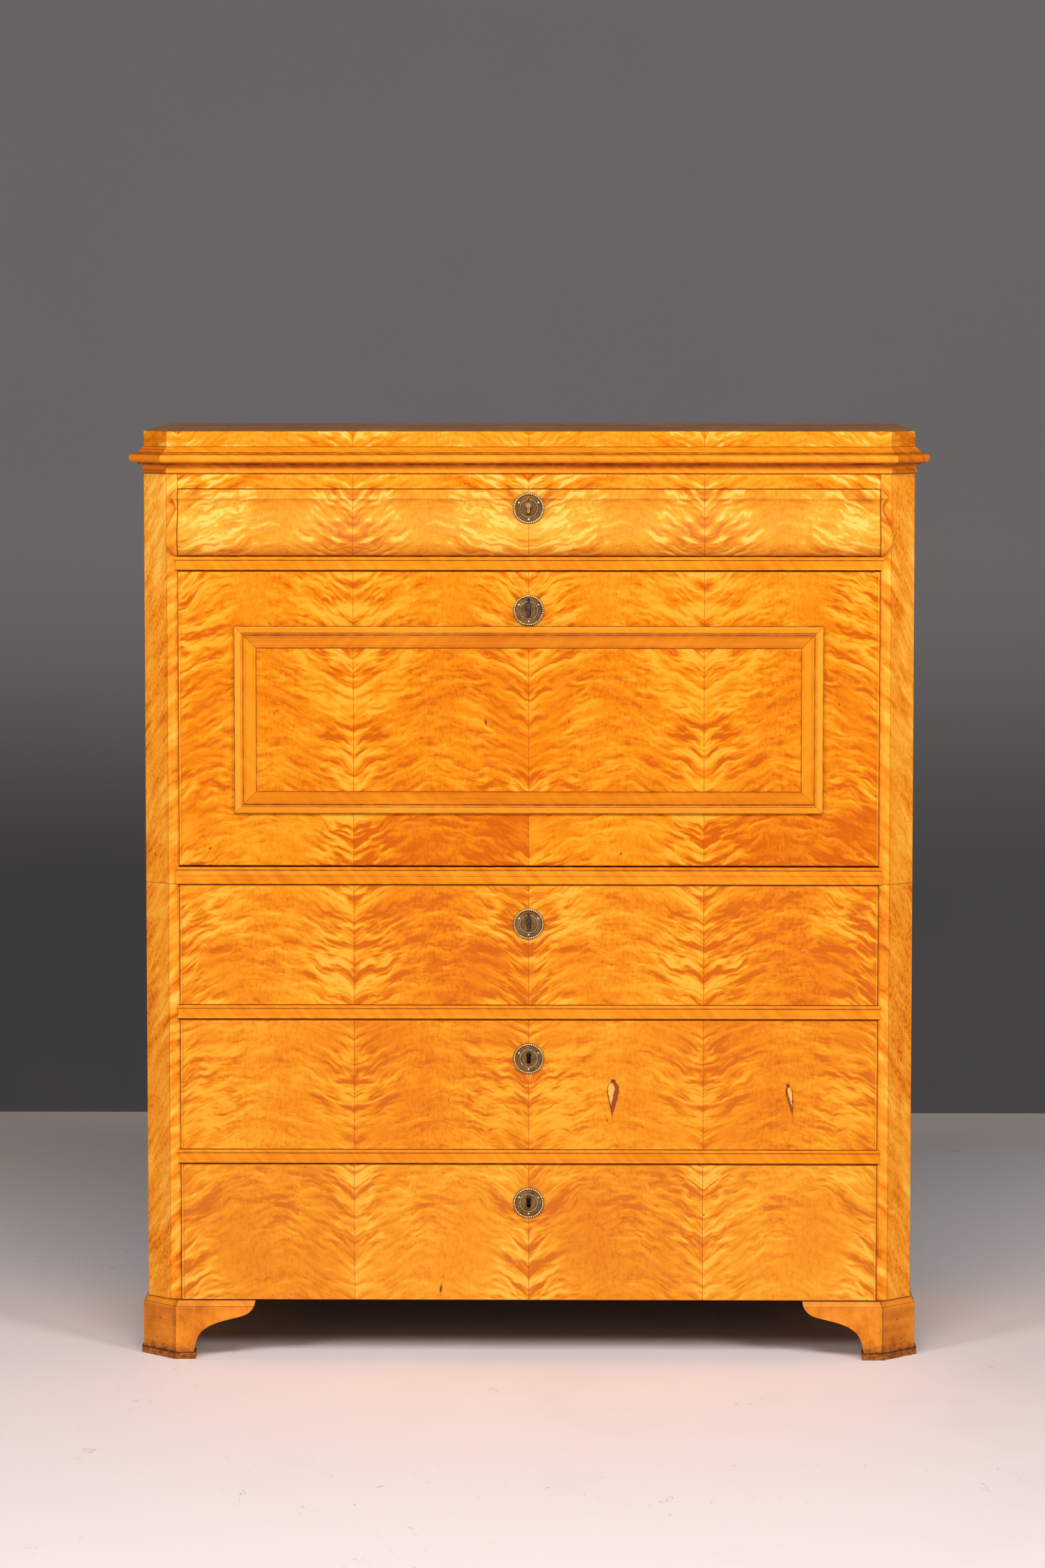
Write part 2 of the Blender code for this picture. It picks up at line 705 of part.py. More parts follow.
def bracket_void(start, length, turn, height=FOOT_HEIGHT):
    """The space under a bracket's ogee edge, as a cutter. It starts where the edge leaves the foot."""
    curve = traced(BRACKET_SHARES, length, height)
    toe = TOE_REACH - FOOT_REACH
    far = length + 2 * OVERRUN
    outline = [(far, -OVERRUN), (toe, -OVERRUN), (toe, TOE_HEIGHT), (curve[0][0], TOE_HEIGHT)]
    outline += curve[1:] + [(length, height + OVERRUN), (far, height + OVERRUN)]
    reach = BRACKET_THICKNESS + TOE_REACH + OVERRUN
    void = add("bracket_void", plate_mesh(outline, -reach, reach, "Y"), CASE)
    void.location = start
    void.rotation_euler = (0, 0, turn)
    return void


def foot(name, side, outer, inner, voids):
    """A foot: a block with bracket boards, lofted round its plan and cut out below the brackets."""
    levels = [(height, sided(side, offset_path(outer, reach) + inner)) for height, reach in foot_levels()]
    made = add(name, stack_mesh(levels), CASE, STRAIGHT_BIRCH)
    cut(made, *[bracket_void(*void) for void in voids])


def front_foot(name, side):
    """A front foot: a canted corner block, and bracket boards along the front and the side."""
    base = -FRONT_PROUD - BRACKET_SETBACK
    back = base + BRACKET_THICKNESS
    front_end = -HALF_OPENING + FOOT_FACE + BRACKET_LENGTH + OVERRUN
    side_end = FOOT_BLOCK + SIDE_BRACKET_LENGTH + OVERRUN
    inside = -HALF_WIDTH + BRACKET_THICKNESS
    outer = (
        (-HALF_WIDTH, side_end),
        (-HALF_WIDTH, base + FOOT_CANT),
        (-HALF_WIDTH + FOOT_CANT, base),
        (front_end, base),
    )
    inner = [
        (front_end, back),
        (-HALF_OPENING, back),
        (-HALF_OPENING, FOOT_BLOCK),
        (inside, FOOT_BLOCK),
        (inside, side_end),
    ]
    front_start = (side * (HALF_OPENING - FOOT_FACE), base, 0)
    side_start = (side * HALF_WIDTH, FOOT_BLOCK, 0)
    voids = (
        (front_start, BRACKET_LENGTH, math.pi if side > 0 else 0),
        (side_start, SIDE_BRACKET_LENGTH, math.pi / 2),
    )
    foot(name, side, outer, inner, voids)


def back_foot(name, side):
    """A back foot: a square block, and a bracket board along the side."""
    block_start = CASE_DEPTH - FOOT_BLOCK
    side_end = block_start - SIDE_BRACKET_LENGTH - OVERRUN
    inside = -HALF_WIDTH + BRACKET_THICKNESS
    deep = -HALF_WIDTH + FOOT_BLOCK
    outer = ((-HALF_WIDTH, CASE_DEPTH), (-HALF_WIDTH, side_end))
    inner = [(inside, side_end), (inside, block_start), (deep, block_start), (deep, CASE_DEPTH)]
    foot(name, side, outer, inner, (((side * HALF_WIDTH, block_start, 0), SIDE_BRACKET_LENGTH, -math.pi / 2),))


def feet():
    for side, word in ((-1, "left"), (1, "right")):
        front_foot(f"foot_front_{word}", side)
        back_foot(f"foot_back_{word}", side)


def keyhole_outline(grow):
    """A keyhole about the key's axis: a round head with a slot below it."""
    head = KEYHOLE_HEAD_RADIUS + grow
    slot = KEYHOLE_SLOT_WIDTH / 2 + grow
    foot = -KEYHOLE_REACH - grow + slot
    meet = math.degrees(math.asin(slot / head))
    return arc((0, 0), head, meet - 90, 270 - meet, 2 * CURVE_STEPS) + arc((0, foot), slot, 180, 360)


def keyhole_cutter(seat, axis, front, back):
    cutter = add("keyhole", plate_mesh(keyhole_outline(0), front, back, "Y"), seat)
    cutter.location = (0, 0, axis)
    return cutter


def lock_floor(axis):
    """The height of the lock case's underside."""
    return axis - BIT_REACH - BIT_CLEARANCE - LOCK_FIT - LOCK_WALL


def lock_recess(seat, axis, back):
    """The three steps cut in the back and top edge of a front to let its lock in."""
    plate_half = LOCK_PLATE_WIDTH / 2 + LOCK_FIT
    plate_low = axis - KEYHOLE_REACH - LOCK_MARGIN - LOCK_FIT
    case_half = LOCK_CASE_WIDTH / 2 + LOCK_FIT
    edge = -FIT - LOCK_PLATE - LOCK_FIT
    deep = back - LOCK_DEPTH - LOCK_FIT
    shapes = (
        ((-plate_half, bolt_rear(back), plate_low), (plate_half, back + OVERRUN, OVERRUN)),
        ((-plate_half, deep, edge), (plate_half, back + OVERRUN, OVERRUN)),
        ((-case_half, deep, lock_floor(axis) - LOCK_FIT), (case_half, back + OVERRUN, OVERRUN)),
    )
    return [add("lock_recess", box_mesh(low, high), seat) for low, high in shapes]


def escutcheon(name, seat, axis, face):
    """A round plate with two raised rings and a rimmed keyhole."""
    outline = traced(ESCUTCHEON_SHARES, ESCUTCHEON_RADIUS, ESCUTCHEON_THICKNESS)
    plate = turned(name, outline, seat, DARK_BRASS, (0, face - FIT, axis - KEY_RISE))
    middle = face - FIT - ESCUTCHEON_SHARES[0][1] * ESCUTCHEON_THICKNESS
    rim_mesh = plate_mesh(keyhole_outline(KEYHOLE_RIM), middle - KEYHOLE_RIM_RISE, face - 2 * FIT, "Y")
    unite(plate, add("keyhole_rim", rim_mesh, seat, location=(0, 0, axis)))
    cut(plate, keyhole_cutter(seat, axis, face - OVERRUN - ESCUTCHEON_THICKNESS, face + OVERRUN))


def bolt_meshes(axis, back, grip=0):
    """The bolt's head and its tail. A grip makes them reach back into the lock's plate."""
    rear = bolt_rear(back)
    swing = BIT_REACH + BIT_CLEARANCE
    head_low = max(axis + swing, -LOCK_FIT - BOLT_HEAD_LENGTH)
    half, tail = BOLT_WIDTH / 2, BOLT_TAIL_WIDTH / 2
    return (
        box_mesh((-half, rear - BOLT_THICKNESS, head_low), (half, rear + grip, -LOCK_FIT)),
        box_mesh((-tail, rear - BOLT_TAIL_THICKNESS, axis - swing), (tail, rear + grip, head_low + UNION_OVERLAP)),
    )


def loose_bolt(name, seat, axis, back):
    """A bolt that slides up out of its lock. Its tail is slotted for the drill pin."""
    head, tail = bolt_meshes(axis, back)
    bolt = add(name, head, seat, IRON)
    half = DRILL_PIN_RADIUS + LOCK_FIT
    slot_low = (-half, bolt_rear(back) - BOLT_TAIL_THICKNESS - OVERRUN, axis - BOLT_THROW - half)
    slot = box_mesh(slot_low, (half, bolt_rear(back) + OVERRUN, axis + half))
    tail_piece = add("bolt_tail", tail, seat)
    cut(tail_piece, add("pin_slot", slot, seat))
    unite(bolt, tail_piece)


def lock(name, seat, axis, back, fixed_bolt):
    """A half-mortise lock: an angled plate, a rim and a drill pin, open towards the keyhole."""
    plate_half, case_half = LOCK_PLATE_WIDTH / 2, LOCK_CASE_WIDTH / 2
    plate_front = back - FIT - LOCK_PLATE
    rim_front = back - LOCK_DEPTH
    plate_low = axis - KEYHOLE_REACH - LOCK_MARGIN
    edge_low = -FIT - LOCK_PLATE
    low, high = lock_floor(axis), edge_low + UNION_OVERLAP
    rear = plate_front + UNION_OVERLAP
    outline = (
        (plate_front, plate_low),
        (back - FIT, plate_low),
        (back - FIT, -FIT),
        (rim_front + FIT, -FIT),
        (rim_front + FIT, edge_low),
        (plate_front, edge_low),
    )
    made = add(name, plate_mesh(outline, -plate_half, plate_half, "X"), seat, IRON)
    rim = add("lock_rim", box_mesh((-case_half, rim_front, low), (case_half, rear, high)), seat)
    hollow_half = case_half - LOCK_WALL
    hollow_low = (-hollow_half, rim_front - OVERRUN, low + LOCK_WALL)
    cut(rim, add("lock_hollow", box_mesh(hollow_low, (hollow_half, rear + OVERRUN, high + OVERRUN)), seat))
    pin = add("drill_pin", rod_mesh(DRILL_PIN_RADIUS, plate_front - DRILL_PIN_LENGTH, rear, "Y"), seat)
    pin.location = (0, 0, axis)
    half = BOLT_WIDTH / 2 + FIT
    slot_low = (-half, bolt_rear(back) - BOLT_THICKNESS - FIT, edge_low - UNION_OVERLAP)
    slot = add("bolt_slot", box_mesh(slot_low, (half, bolt_rear(back) + FIT, OVERRUN)), seat)
    unite(made, rim, pin)
    cut(made, slot)
    if fixed_bolt:
        grip = LOCK_FIT + UNION_OVERLAP
        unite(made, *[add("kept_bolt", mesh, seat) for mesh in bolt_meshes(axis, back, grip)])


def key(name, seat, axis, back, face, finish):
    """A key with a hollow barrel over the drill pin, its bit down and its bow upright."""
    turn = empty(f"{name}_axis", seat, (0, 0, axis))
    bit_rear = bolt_rear(back) - BOLT_TAIL_THICKNESS - SWING_CLEARANCE
    tip = back - bit_rear
    bow_start = back - face + FIT + ESCUTCHEON_THICKNESS + KEY_STANDOFF
    outline = (
        (0, bow_start + BOW_WIRE_RADIUS),
        (BARREL_RADIUS, bow_start + BOW_WIRE_RADIUS),
        (BARREL_RADIUS, bow_start),
        (COLLAR_RADIUS, bow_start - COLLAR_CHAMFER),
        (COLLAR_RADIUS, bow_start - COLLAR_LENGTH + COLLAR_CHAMFER),
        (BARREL_RADIUS, bow_start - COLLAR_LENGTH),
        (BARREL_RADIUS, tip),
        (0, tip),
    )
    shank = turned(name, outline, turn, finish, (0, back, 0), PIN_SIDES)
    bit_low = (-BIT_THICKNESS / 2, bit_rear - BIT_LENGTH, -BIT_REACH)
    bit_high = (BIT_THICKNESS / 2, bit_rear, BARREL_BORE_RADIUS + FIT - BARREL_RADIUS)
    bit = add("key_bit", box_mesh(bit_low, bit_high), turn)
    bpy.ops.mesh.primitive_torus_add(
        major_radius=BOW_RADIUS,
        minor_radius=BOW_WIRE_RADIUS,
        major_segments=PIN_SIDES,
        minor_segments=RING_SIDES,
    )
    ring = bpy.context.active_object
    middle = back - bow_start - BOW_RADIUS - BOW_WIRE_RADIUS
    bow = add("key_bow", ring.data.copy(), turn, location=(0, middle, 0), rotation=(0, math.pi / 2, 0))
    if finish is IRON:
        bow.scale = (TALL_BOW_SHARE, 1, 1)
    bpy.data.objects.remove(ring)
    pin_front = back - FIT - LOCK_PLATE - DRILL_PIN_LENGTH
    bore = add("key_bore", rod_mesh(BARREL_BORE_RADIUS, pin_front - 2 * FIT, bit_rear + OVERRUN, "Y"), turn)
    unite(shank, bit, bow)
    cut(shank, bore)


def furnish(name, parent, seat_place, front, back, face, escutcheon_drop, key_finish=None):
    """Fits a front with its escutcheon and lock, and with a bolt and a key where the key is in the lock."""
    seat = empty(f"{name}_lock_seat", parent, seat_place)
    axis = KEY_RISE - escutcheon_drop
    cut(front, *lock_recess(seat, axis, back), keyhole_cutter(seat, axis, face - OVERRUN, back))
    escutcheon(f"{name}_escutcheon", seat, axis, face)
    lock(f"{name}_lock", seat, axis, back, key_finish is None)
    if key_finish:
        loose_bolt(f"{name}_bolt", seat, axis, back)
        key(f"{name}_key", seat, axis, back, face, key_finish)
    return seat, axis


def dovetails(slide, side, low, height, inner, outer, grow):
    """The row of tails on the front end of a drawer side. Grown by a fit, they cut their own sockets."""
    root = DRAWER_BACK + FIT
    tip = DRAWER_BACK - DOVETAIL_LENGTH - grow
    pitch = height / DOVETAIL_COUNT
    half_root = pitch * DOVETAIL_ROOT_SHARE / 2 + grow
    half_tip = pitch * DOVETAIL_TIP_SHARE / 2 + grow
    outline = [(root + UNION_OVERLAP, low + pitch / 2 - half_root)]
    for i in range(DOVETAIL_COUNT):
        middle = low + pitch * (i + 1 / 2)
        outline += [(root, middle - half_root), (tip, middle - half_tip)]
        outline += [(tip, middle + half_tip), (root, middle + half_root)]
    outline.append((root + UNION_OVERLAP, low + height - pitch / 2 + half_root))
    near, far = sorted((side * inner, side * outer))
    return add("dovetails", plate_mesh(outline, near, far, "X"), slide)


def drawer_box(name, slide, front, opening, floor):
    """A drawer's sides and back in one frame, dovetailed into the front, and its bottom in their grooves."""
    outer = HALF_OPENING - BOX_SIDE_GAP
    inner = outer - BOX_SIDE_THICKNESS
    start, end = DRAWER_BACK + FIT, BACK_FACE - BOX_END_GAP
    low, high = floor + FIT, opening - BOX_HEADROOM
    groove_low = low + GROOVE_RISE
    groove_high = groove_low + DRAWER_BOTTOM_THICKNESS + 2 * FIT
    groove_half = inner + GROOVE_DEPTH
    groove_start = DRAWER_BACK - GROOVE_DEPTH

    frame = add(f"{name}_frame", mirrored_box(-1, (inner, start, low), (outer, end, high)), slide, INNER_PINE)
    other = add("drawer_side", mirrored_box(1, (inner, start, low), (outer, end, high)), slide)
    across = inner + UNION_OVERLAP
    back_low = (-across, end - BOX_BACK_THICKNESS - FIT, groove_high + FIT)
    rear = add("drawer_back", box_mesh(back_low, (across, end - FIT, high - BOX_END_GAP)), slide)
    unite(frame, rear, other)
    for side in (-1, 1):
        unite(frame, dovetails(slide, side, low, high - low, inner, outer, 0))
        cut(front, dovetails(slide, side, low, high - low, inner - FIT, HALF_OPENING + OVERRUN, FIT))
    groove = box_mesh((-groove_half, groove_start, groove_low), (groove_half, end + OVERRUN, groove_high))
    groove_cutter = add("bottom_groove", groove, slide)
    cut(frame, groove_cutter)
    cut(front, groove_cutter)
    half = groove_half - FIT
    bottom_low = (-half, groove_start + FIT, groove_low + FIT)
    bottom = box_mesh(bottom_low, (half, end - FIT, groove_high - FIT))
    add(f"{name}_bottom", bottom, slide, INNER_PINE)


def flat_drawer(name, low, opening, floor, key_finish):
    """One of the three lower drawers, with a flat front that stands proud of the posts."""
    slide = empty(f"{name}_slide", CASE, (0, 0, low))
    half = HALF_OPENING - FRONT_SIDE_GAP
    top = opening - FRONT_TOP_GAP
    mesh = box_mesh((-half, -FRONT_PROUD, FRONT_BOTTOM_GAP), (half, DRAWER_BACK, top))
    front = add(f"{name}_front", mesh, slide, FLAME_BIRCH)
    easing = front.modifiers.new("easing", "BEVEL")
    easing.width = FRONT_EASING
    easing.segments = 1
    drawer_box(name, slide, front, opening, floor)
    furnish(name, slide, (0, 0, top), front, DRAWER_BACK, -FRONT_PROUD, ESCUTCHEON_DROP, key_finish)


def ogee_drawer(name):
    """The top drawer, whose front is the ogee. A flat round seat is sunk in it for the escutcheon."""
    slide = empty(f"{name}_slide", CASE, (0, 0, TOP_DRAWER_LOW))
    half = HALF_OPENING - FRONT_SIDE_GAP
    top = TOP_DRAWER_OPENING - FRONT_TOP_GAP
    levels = []
    for drop, reach in traced(OGEE_SHARES, top - FRONT_BOTTOM_GAP, OGEE_REACH, OGEE_STEPS):
        plan = [(-half, DRAWER_BACK), (-half, -reach), (half, -reach), (half, DRAWER_BACK)]
        levels.append((top - drop, plan))
    front = add(f"{name}_front", stack_mesh(levels), slide, FLAME_BIRCH)
    drawer_box(name, slide, front, TOP_DRAWER_OPENING, 0)
    face = -ESCUTCHEON_SEAT
    place = (0, 0, top)
    seat, axis = furnish(name, slide, place, front, DRAWER_BACK, face, TOP_ESCUTCHEON_DROP, BRIGHT_BRASS)
    flat = rod_mesh(ESCUTCHEON_RADIUS + LOCK_FIT, -OGEE_REACH - OVERRUN, face, "Y", TURN_STEPS)
    cut(front, add("escutcheon_seat", flat, seat, location=(0, 0, axis - KEY_RISE)))


def drawers():
    flat_drawer("drawer_4", DRAWER_4_LOW, DRAWER_4_OPENING, BOTTOM_THICKNESS, None)
    flat_drawer("drawer_3", DRAWER_3_LOW, DRAWER_3_OPENING, 0, None)
    flat_drawer("drawer_2", DRAWER_2_LOW, DRAWER_2_OPENING, 0, IRON)
    ogee_drawer("top_drawer")


def fall():
    """The writing flap on its two pins. Below them its heel is rebated to catch under the desk board."""
    axis = empty("fall_axis", CASE, (0, PIVOT_SETBACK, PIVOT_HEIGHT))
    heel_face = PIVOT_TO_INSIDE - HEEL_REBATE
    top = FALL_HEIGHT - HEEL_LENGTH
    outline = arc((FALL_ARRIS - PIVOT_TO_FACE, FALL_ARRIS - HEEL_LENGTH), FALL_ARRIS, 180, 270)
    outline += [(heel_face, -HEEL_LENGTH), (heel_face, -SHOULDER_DROP), (PIVOT_TO_INSIDE, -SHOULDER_DROP)]
    outline += [(PIVOT_TO_INSIDE, top), (FRONT_EASING - PIVOT_TO_FACE, top), (-PIVOT_TO_FACE, top - FRONT_EASING)]
    half = HALF_OPENING - FRONT_SIDE_GAP
    panel = add("fall_panel", plate_mesh(outline, -half, half, "X"), axis, FLAME_BIRCH)

    for side, word in ((-1, "left"), (1, "right")):
        ends = sorted((side * (HALF_OPENING - PIN_LENGTH / 2), side * (HALF_OPENING + PIN_LENGTH / 2)))
        add(f"fall_pivot_{word}", rod_mesh(PIN_RADIUS, *ends, "X"), axis, IRON)
        inner = HALF_OPENING - PIN_LENGTH / 2 - FIT
        ends = sorted((side * inner, side * (HALF_OPENING + OVERRUN)))
        cut(panel, add("fall_bore", rod_mesh(PIN_RADIUS + FIT, *ends, "X"), axis))

    loops = []
    low = FLAP_FRAME_RISE - FALL_BOTTOM_GAP - HEEL_LENGTH
    for inward, proud in traced(FLAP_FRAME_SHARES, FLAP_FRAME_WIDTH, FLAP_FRAME_REACH):
        x = FLAP_FRAME_HALF - inward
        y = -PIVOT_TO_FACE - FIT - proud
        z0, z1 = low + inward, low + FLAP_FRAME_HEIGHT - inward
        loops.append([(-x, y, z0), (x, y, z0), (x, y, z1), (-x, y, z1)])
    add("fall_moulding", frame_mesh(loops), axis, STRAIGHT_BIRCH)
    place = (0, -PIVOT_SETBACK, top)
    furnish("fall", axis, place, panel, FALL_BACK, -FRONT_PROUD, ESCUTCHEON_DROP, IRON)


def desk_board():
    """The writing level inside. Its front edge is a coved tongue that the flap's heel swings up against."""
    shoulder = math.hypot(PIVOT_TO_INSIDE, SHOULDER_DROP) + SWING_CLEARANCE
    heel_face = PIVOT_TO_INSIDE - HEEL_REBATE
    heel = math.hypot(HEEL_LENGTH, heel_face) + SWING_CLEARANCE
    under = heel_face + FIT
    first = math.degrees(math.asin(PIVOT_TO_INSIDE / shoulder))
    last = math.degrees(math.asin(under / shoulder))
    outline = arc((0, 0), shoulder, first, last)
    back = BACK_FACE - FIT - PIVOT_SETBACK
    low = PIVOT_TO_INSIDE - DESK_THICKNESS
    outline += [(heel, under), (heel, low), (back, low), (back, PIVOT_TO_INSIDE)]
    half = HALF_OPENING - FIT
    board = add("desk_board", plate_mesh(outline, -half, half, "X"), CASE, STRAIGHT_BIRCH)
    board.location = (0, PIVOT_SETBACK, PIVOT_HEIGHT)
    for side in (-1, 1):
        strip_low = (half - UNION_OVERLAP, POST_DEPTH + FIT, DESK_TOP - DESK_THICKNESS)
        strip = mirrored_box(side, strip_low, (INNER_HALF - FIT, BACK_FACE - FIT, DESK_TOP))
        unite(board, add("desk_edge", strip, CASE))


def gallery():
    """A shelf on two ends and two partitions, set back behind the flap, with a small drawer at each side."""
    back = BACK_FACE - FIT
    under = DESK_TOP + GALLERY_CLEAR_HEIGHT
    wide = INNER_HALF - FIT
    mesh = box_mesh((-wide, GALLERY_SETBACK, under), (wide, back, under + GALLERY_THICKNESS))
    shelf = add("gallery_case", mesh, CASE, STRAIGHT_BIRCH)
    bay = CENTRE_BAY_WIDTH / 2
    for side, word in ((-1, "left"), (1, "right")):
        low = (HALF_OPENING, GALLERY_SETBACK + FIT, DESK_TOP + FIT)
        end = mirrored_box(side, low, (HALF_OPENING + GALLERY_THICKNESS, back - FIT, under + UNION_OVERLAP))
        unite(shelf, add("gallery_end", end, CASE))
        low = (bay, GALLERY_SETBACK + FIT, DESK_TOP + FIT)
        partition = mirrored_box(side, low, (bay + GALLERY_THICKNESS, back, under - FIT))
        add(f"gallery_partition_{word}", partition, CASE, STRAIGHT_BIRCH)
        small_drawer(f"small_drawer_{word}", side, bay + GALLERY_THICKNESS + SMALL_GAP, HALF_OPENING - SMALL_GAP)


def small_drawer(name, side, near, far):
    """A small open-topped drawer with a turned knob."""
    start = GALLERY_SETBACK + FIT
    slide = empty(f"{name}_slide", CASE, (0, start, DESK_TOP + FIT))
    depth = BACK_FACE - BOX_END_GAP - start
    height = GALLERY_CLEAR_HEIGHT - FIT - SMALL_GAP
    body = add(name, mirrored_box(side, (near, 0, 0), (far, depth, height)), slide, FLAME_BIRCH)
    low = (near + SMALL_WALL, SMALL_FRONT_THICKNESS, SMALL_FLOOR)
    high = (far - SMALL_WALL, depth - SMALL_WALL, height + OVERRUN)
    hollow = add("small_hollow", mirrored_box(side, low, high), slide)
    low = (near - OVERRUN, SMALL_FRONT_THICKNESS, height - SMALL_HEADROOM)
    high = (far + OVERRUN, depth + OVERRUN, height + OVERRUN)
    headroom = add("small_headroom", mirrored_box(side, low, high), slide)
    outline = traced(KNOB_SHARES, KNOB_RADIUS, KNOB_LENGTH)
    middle = side * (near + far) / 2
    knob = turned("small_knob", outline, slide, None, (middle, UNION_OVERLAP, height / 2), PIN_SIDES)
    unite(body, knob)
    cut(body, hollow, headroom)


posts_and_sides()
back_panels()
boards()
frieze_and_top()
feet()
drawers()
fall()
desk_board()
gallery()
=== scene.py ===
"""Fall front secretaire in flame birch: finishes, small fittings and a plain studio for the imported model."""

import math

import bpy
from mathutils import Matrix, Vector


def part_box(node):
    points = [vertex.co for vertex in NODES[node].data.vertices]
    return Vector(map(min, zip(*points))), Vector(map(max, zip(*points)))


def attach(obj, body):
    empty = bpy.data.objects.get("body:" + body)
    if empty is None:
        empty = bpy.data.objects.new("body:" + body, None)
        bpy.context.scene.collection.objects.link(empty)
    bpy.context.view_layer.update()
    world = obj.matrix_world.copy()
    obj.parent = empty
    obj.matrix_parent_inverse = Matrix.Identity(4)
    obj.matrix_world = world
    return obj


bl_info = {
    "name": "Fall front secretaire",
    "version": (1, 0, 0),
    "blender": (4, 5, 0),
    "location": "3D View > Sidebar > Secretaire",
    "description": "Veneers, polishes and fits out a fall front secretaire, and sets up its studio",
    "category": "Object",
}

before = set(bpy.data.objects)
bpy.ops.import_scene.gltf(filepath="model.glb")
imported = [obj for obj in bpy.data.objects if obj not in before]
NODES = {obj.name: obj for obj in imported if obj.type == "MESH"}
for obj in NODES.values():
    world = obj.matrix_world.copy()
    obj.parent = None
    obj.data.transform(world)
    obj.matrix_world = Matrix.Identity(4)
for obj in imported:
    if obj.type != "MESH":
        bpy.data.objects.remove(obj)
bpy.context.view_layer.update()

DRAWERS = ("top_drawer", "drawer_2", "drawer_3", "drawer_4")
HOLDERS = (*DRAWERS, "fall")
SIDES = ("left", "right")
BIRCH_INSIDE = ("desk_board", "gallery_case", "gallery_partition_left", "gallery_partition_right")
BEAD_COUNTS = ("Outer beads", "Inner beads")
BEAD_SIZES = (*BEAD_COUNTS, "Outer ring", "Inner ring", "Outer bead", "Inner bead", "Pin ring", "Pin head")

# Where the case turns on to its cants, and the planes of its front, in metres.
CASE_CORNER, CASE_FACE = 0.5185, -0.2267
FOOT_CORNER, FOOT_FACE = 0.5085, -0.2322
FRONT_INSIDE = -0.225
OUTER_EDGE = 0.5
LIPPING = 0.0035
PLATE_RISE = 0.0032
HAIR = 0.0001

# Knots: place across and up, half width, half height, lean.
KNOTS = {
    "fall_panel": (
        (-0.0615, 0.9243, 0.0012, 0.0045, -0.1),
        (0.058, 0.9252, 0.0008, 0.003, 0.0),
        (0.1325, 0.735, 0.0012, 0.0016, 0.2),
        (0.445, 0.9503, 0.001, 0.0018, 0.0),
        (-0.372, 1.0655, 0.0008, 0.0012, 0.0),
        (-0.458, 0.742, 0.0014, 0.0016, 0.4),
    ),
    "drawer_4_front": ((-0.127, 0.1018, 0.0016, 0.006, 0.1), (0.253, 0.2105, 0.001, 0.0012, 0.0)),
    "drawer_3_front": ((-0.116, 0.3775, 0.0005, 0.0022, 0.1), (0.1133, 0.3485, 0.0006, 0.0035, -0.2)),
    "drawer_2_front": ((-0.462, 0.6035, 0.0007, 0.0012, 0.0),),
}
# Chips: place of the lower tip, height, width, lean.
CHIPS = {"drawer_3_front": ((0.1203, 0.3524, 0.0538, 0.0165, 0.03), (0.3814, 0.3524, 0.0477, 0.0095, -0.16))}

# A rail's top and height, then each dark line's place as a share of the height, and its half width.
# The rails' dark lines are dirt and painted shade along their edges and in their quirks.
RAILS = {
    "divider_1": (1.1614, 0.0196, ((0.0, 0.0009), (0.27, 0.0005), (1.0, 0.0008))),
    "divider_2": (0.5152, 0.0204, ((0.0, 0.0005), (0.26, 0.0005), (1.0, 0.0009))),
    "divider_3": (0.3050, 0.0204, ((0.0, 0.0005), (0.26, 0.0005), (1.0, 0.0009))),
    "waist_board": (0.7152, 0.0252, ((0.0, 0.0008), (0.22, 0.0005), (0.53, 0.0003), (1.0, 0.0008))),
}
# The wide dark line at 0.625 is a painted shadow under the bold round.
CORNICE_QUIRKS = ((0.206, 0.0007), (0.256, 0.0006), (0.625, 0.0019), (0.985, 0.0009))

# Dark of joints and worn edges, also used for the painted shade in the posts' creases.
SEAM_AND_CREASE_SHADE = (0.38, 0.03, 0.0005)
# Dark of dirt and painted shade, for the quirks of mouldings and the tops of fronts under their rails.
QUIRK_DIRT_AND_SHADE = (0.19, 0.032, 0.003)
PORE = (0.20, 0.05, 0.006)
KNOT, KNOT_HALO = (0.075, 0.013, 0.002), (0.45, 0.10, 0.006)
CHIP_GROUND, CHIP_SPLINTER, CHIP_RIM = (0.31, 0.062, 0.018), (0.86, 0.42, 0.085), (0.09, 0.018, 0.005)
TOP_BROWN, CANT_BLOTCH = (0.17, 0.05, 0.012), (0.58, 0.125, 0.003)
TOE_DARK, TOE_RUBBED, FOOT_MARK = (0.11, 0.035, 0.010), (0.42, 0.12, 0.018), (0.07, 0.02, 0.006)
BOARD_GAP, NAIL = (0.03, 0.015, 0.008), (0.035, 0.026, 0.022)
FLOOR_SMEAR, FLOOR_SCUFF, WALL_STAIN = (0.30, 0.24, 0.20), (0.24, 0.23, 0.26), (0.20, 0.18, 0.18)
AIR = (0.92, 0.95, 1.0)
POST_TONES = (
    (0.05, (0.56, 0.11, 0.004)),
    (0.28, (0.78, 0.21, 0.008)),
    (0.5, (0.88, 0.295, 0.016)),
    (0.72, (0.94, 0.395, 0.036)),
    (0.95, (0.96, 0.51, 0.08)),
)
FOOT_TONES = (
    (0.06, (0.25, 0.055, 0.005)),
    (0.3, (0.55, 0.145, 0.010)),
    (0.5, (0.72, 0.215, 0.015)),
    (0.7, (0.84, 0.28, 0.024)),
    (0.95, (0.96, 0.36, 0.040)),
)
PINE_SHADES = ((0.1, 0.42), (0.42, 0.8), (0.62, 1.0), (0.9, 1.28))
SATIN = 0.12

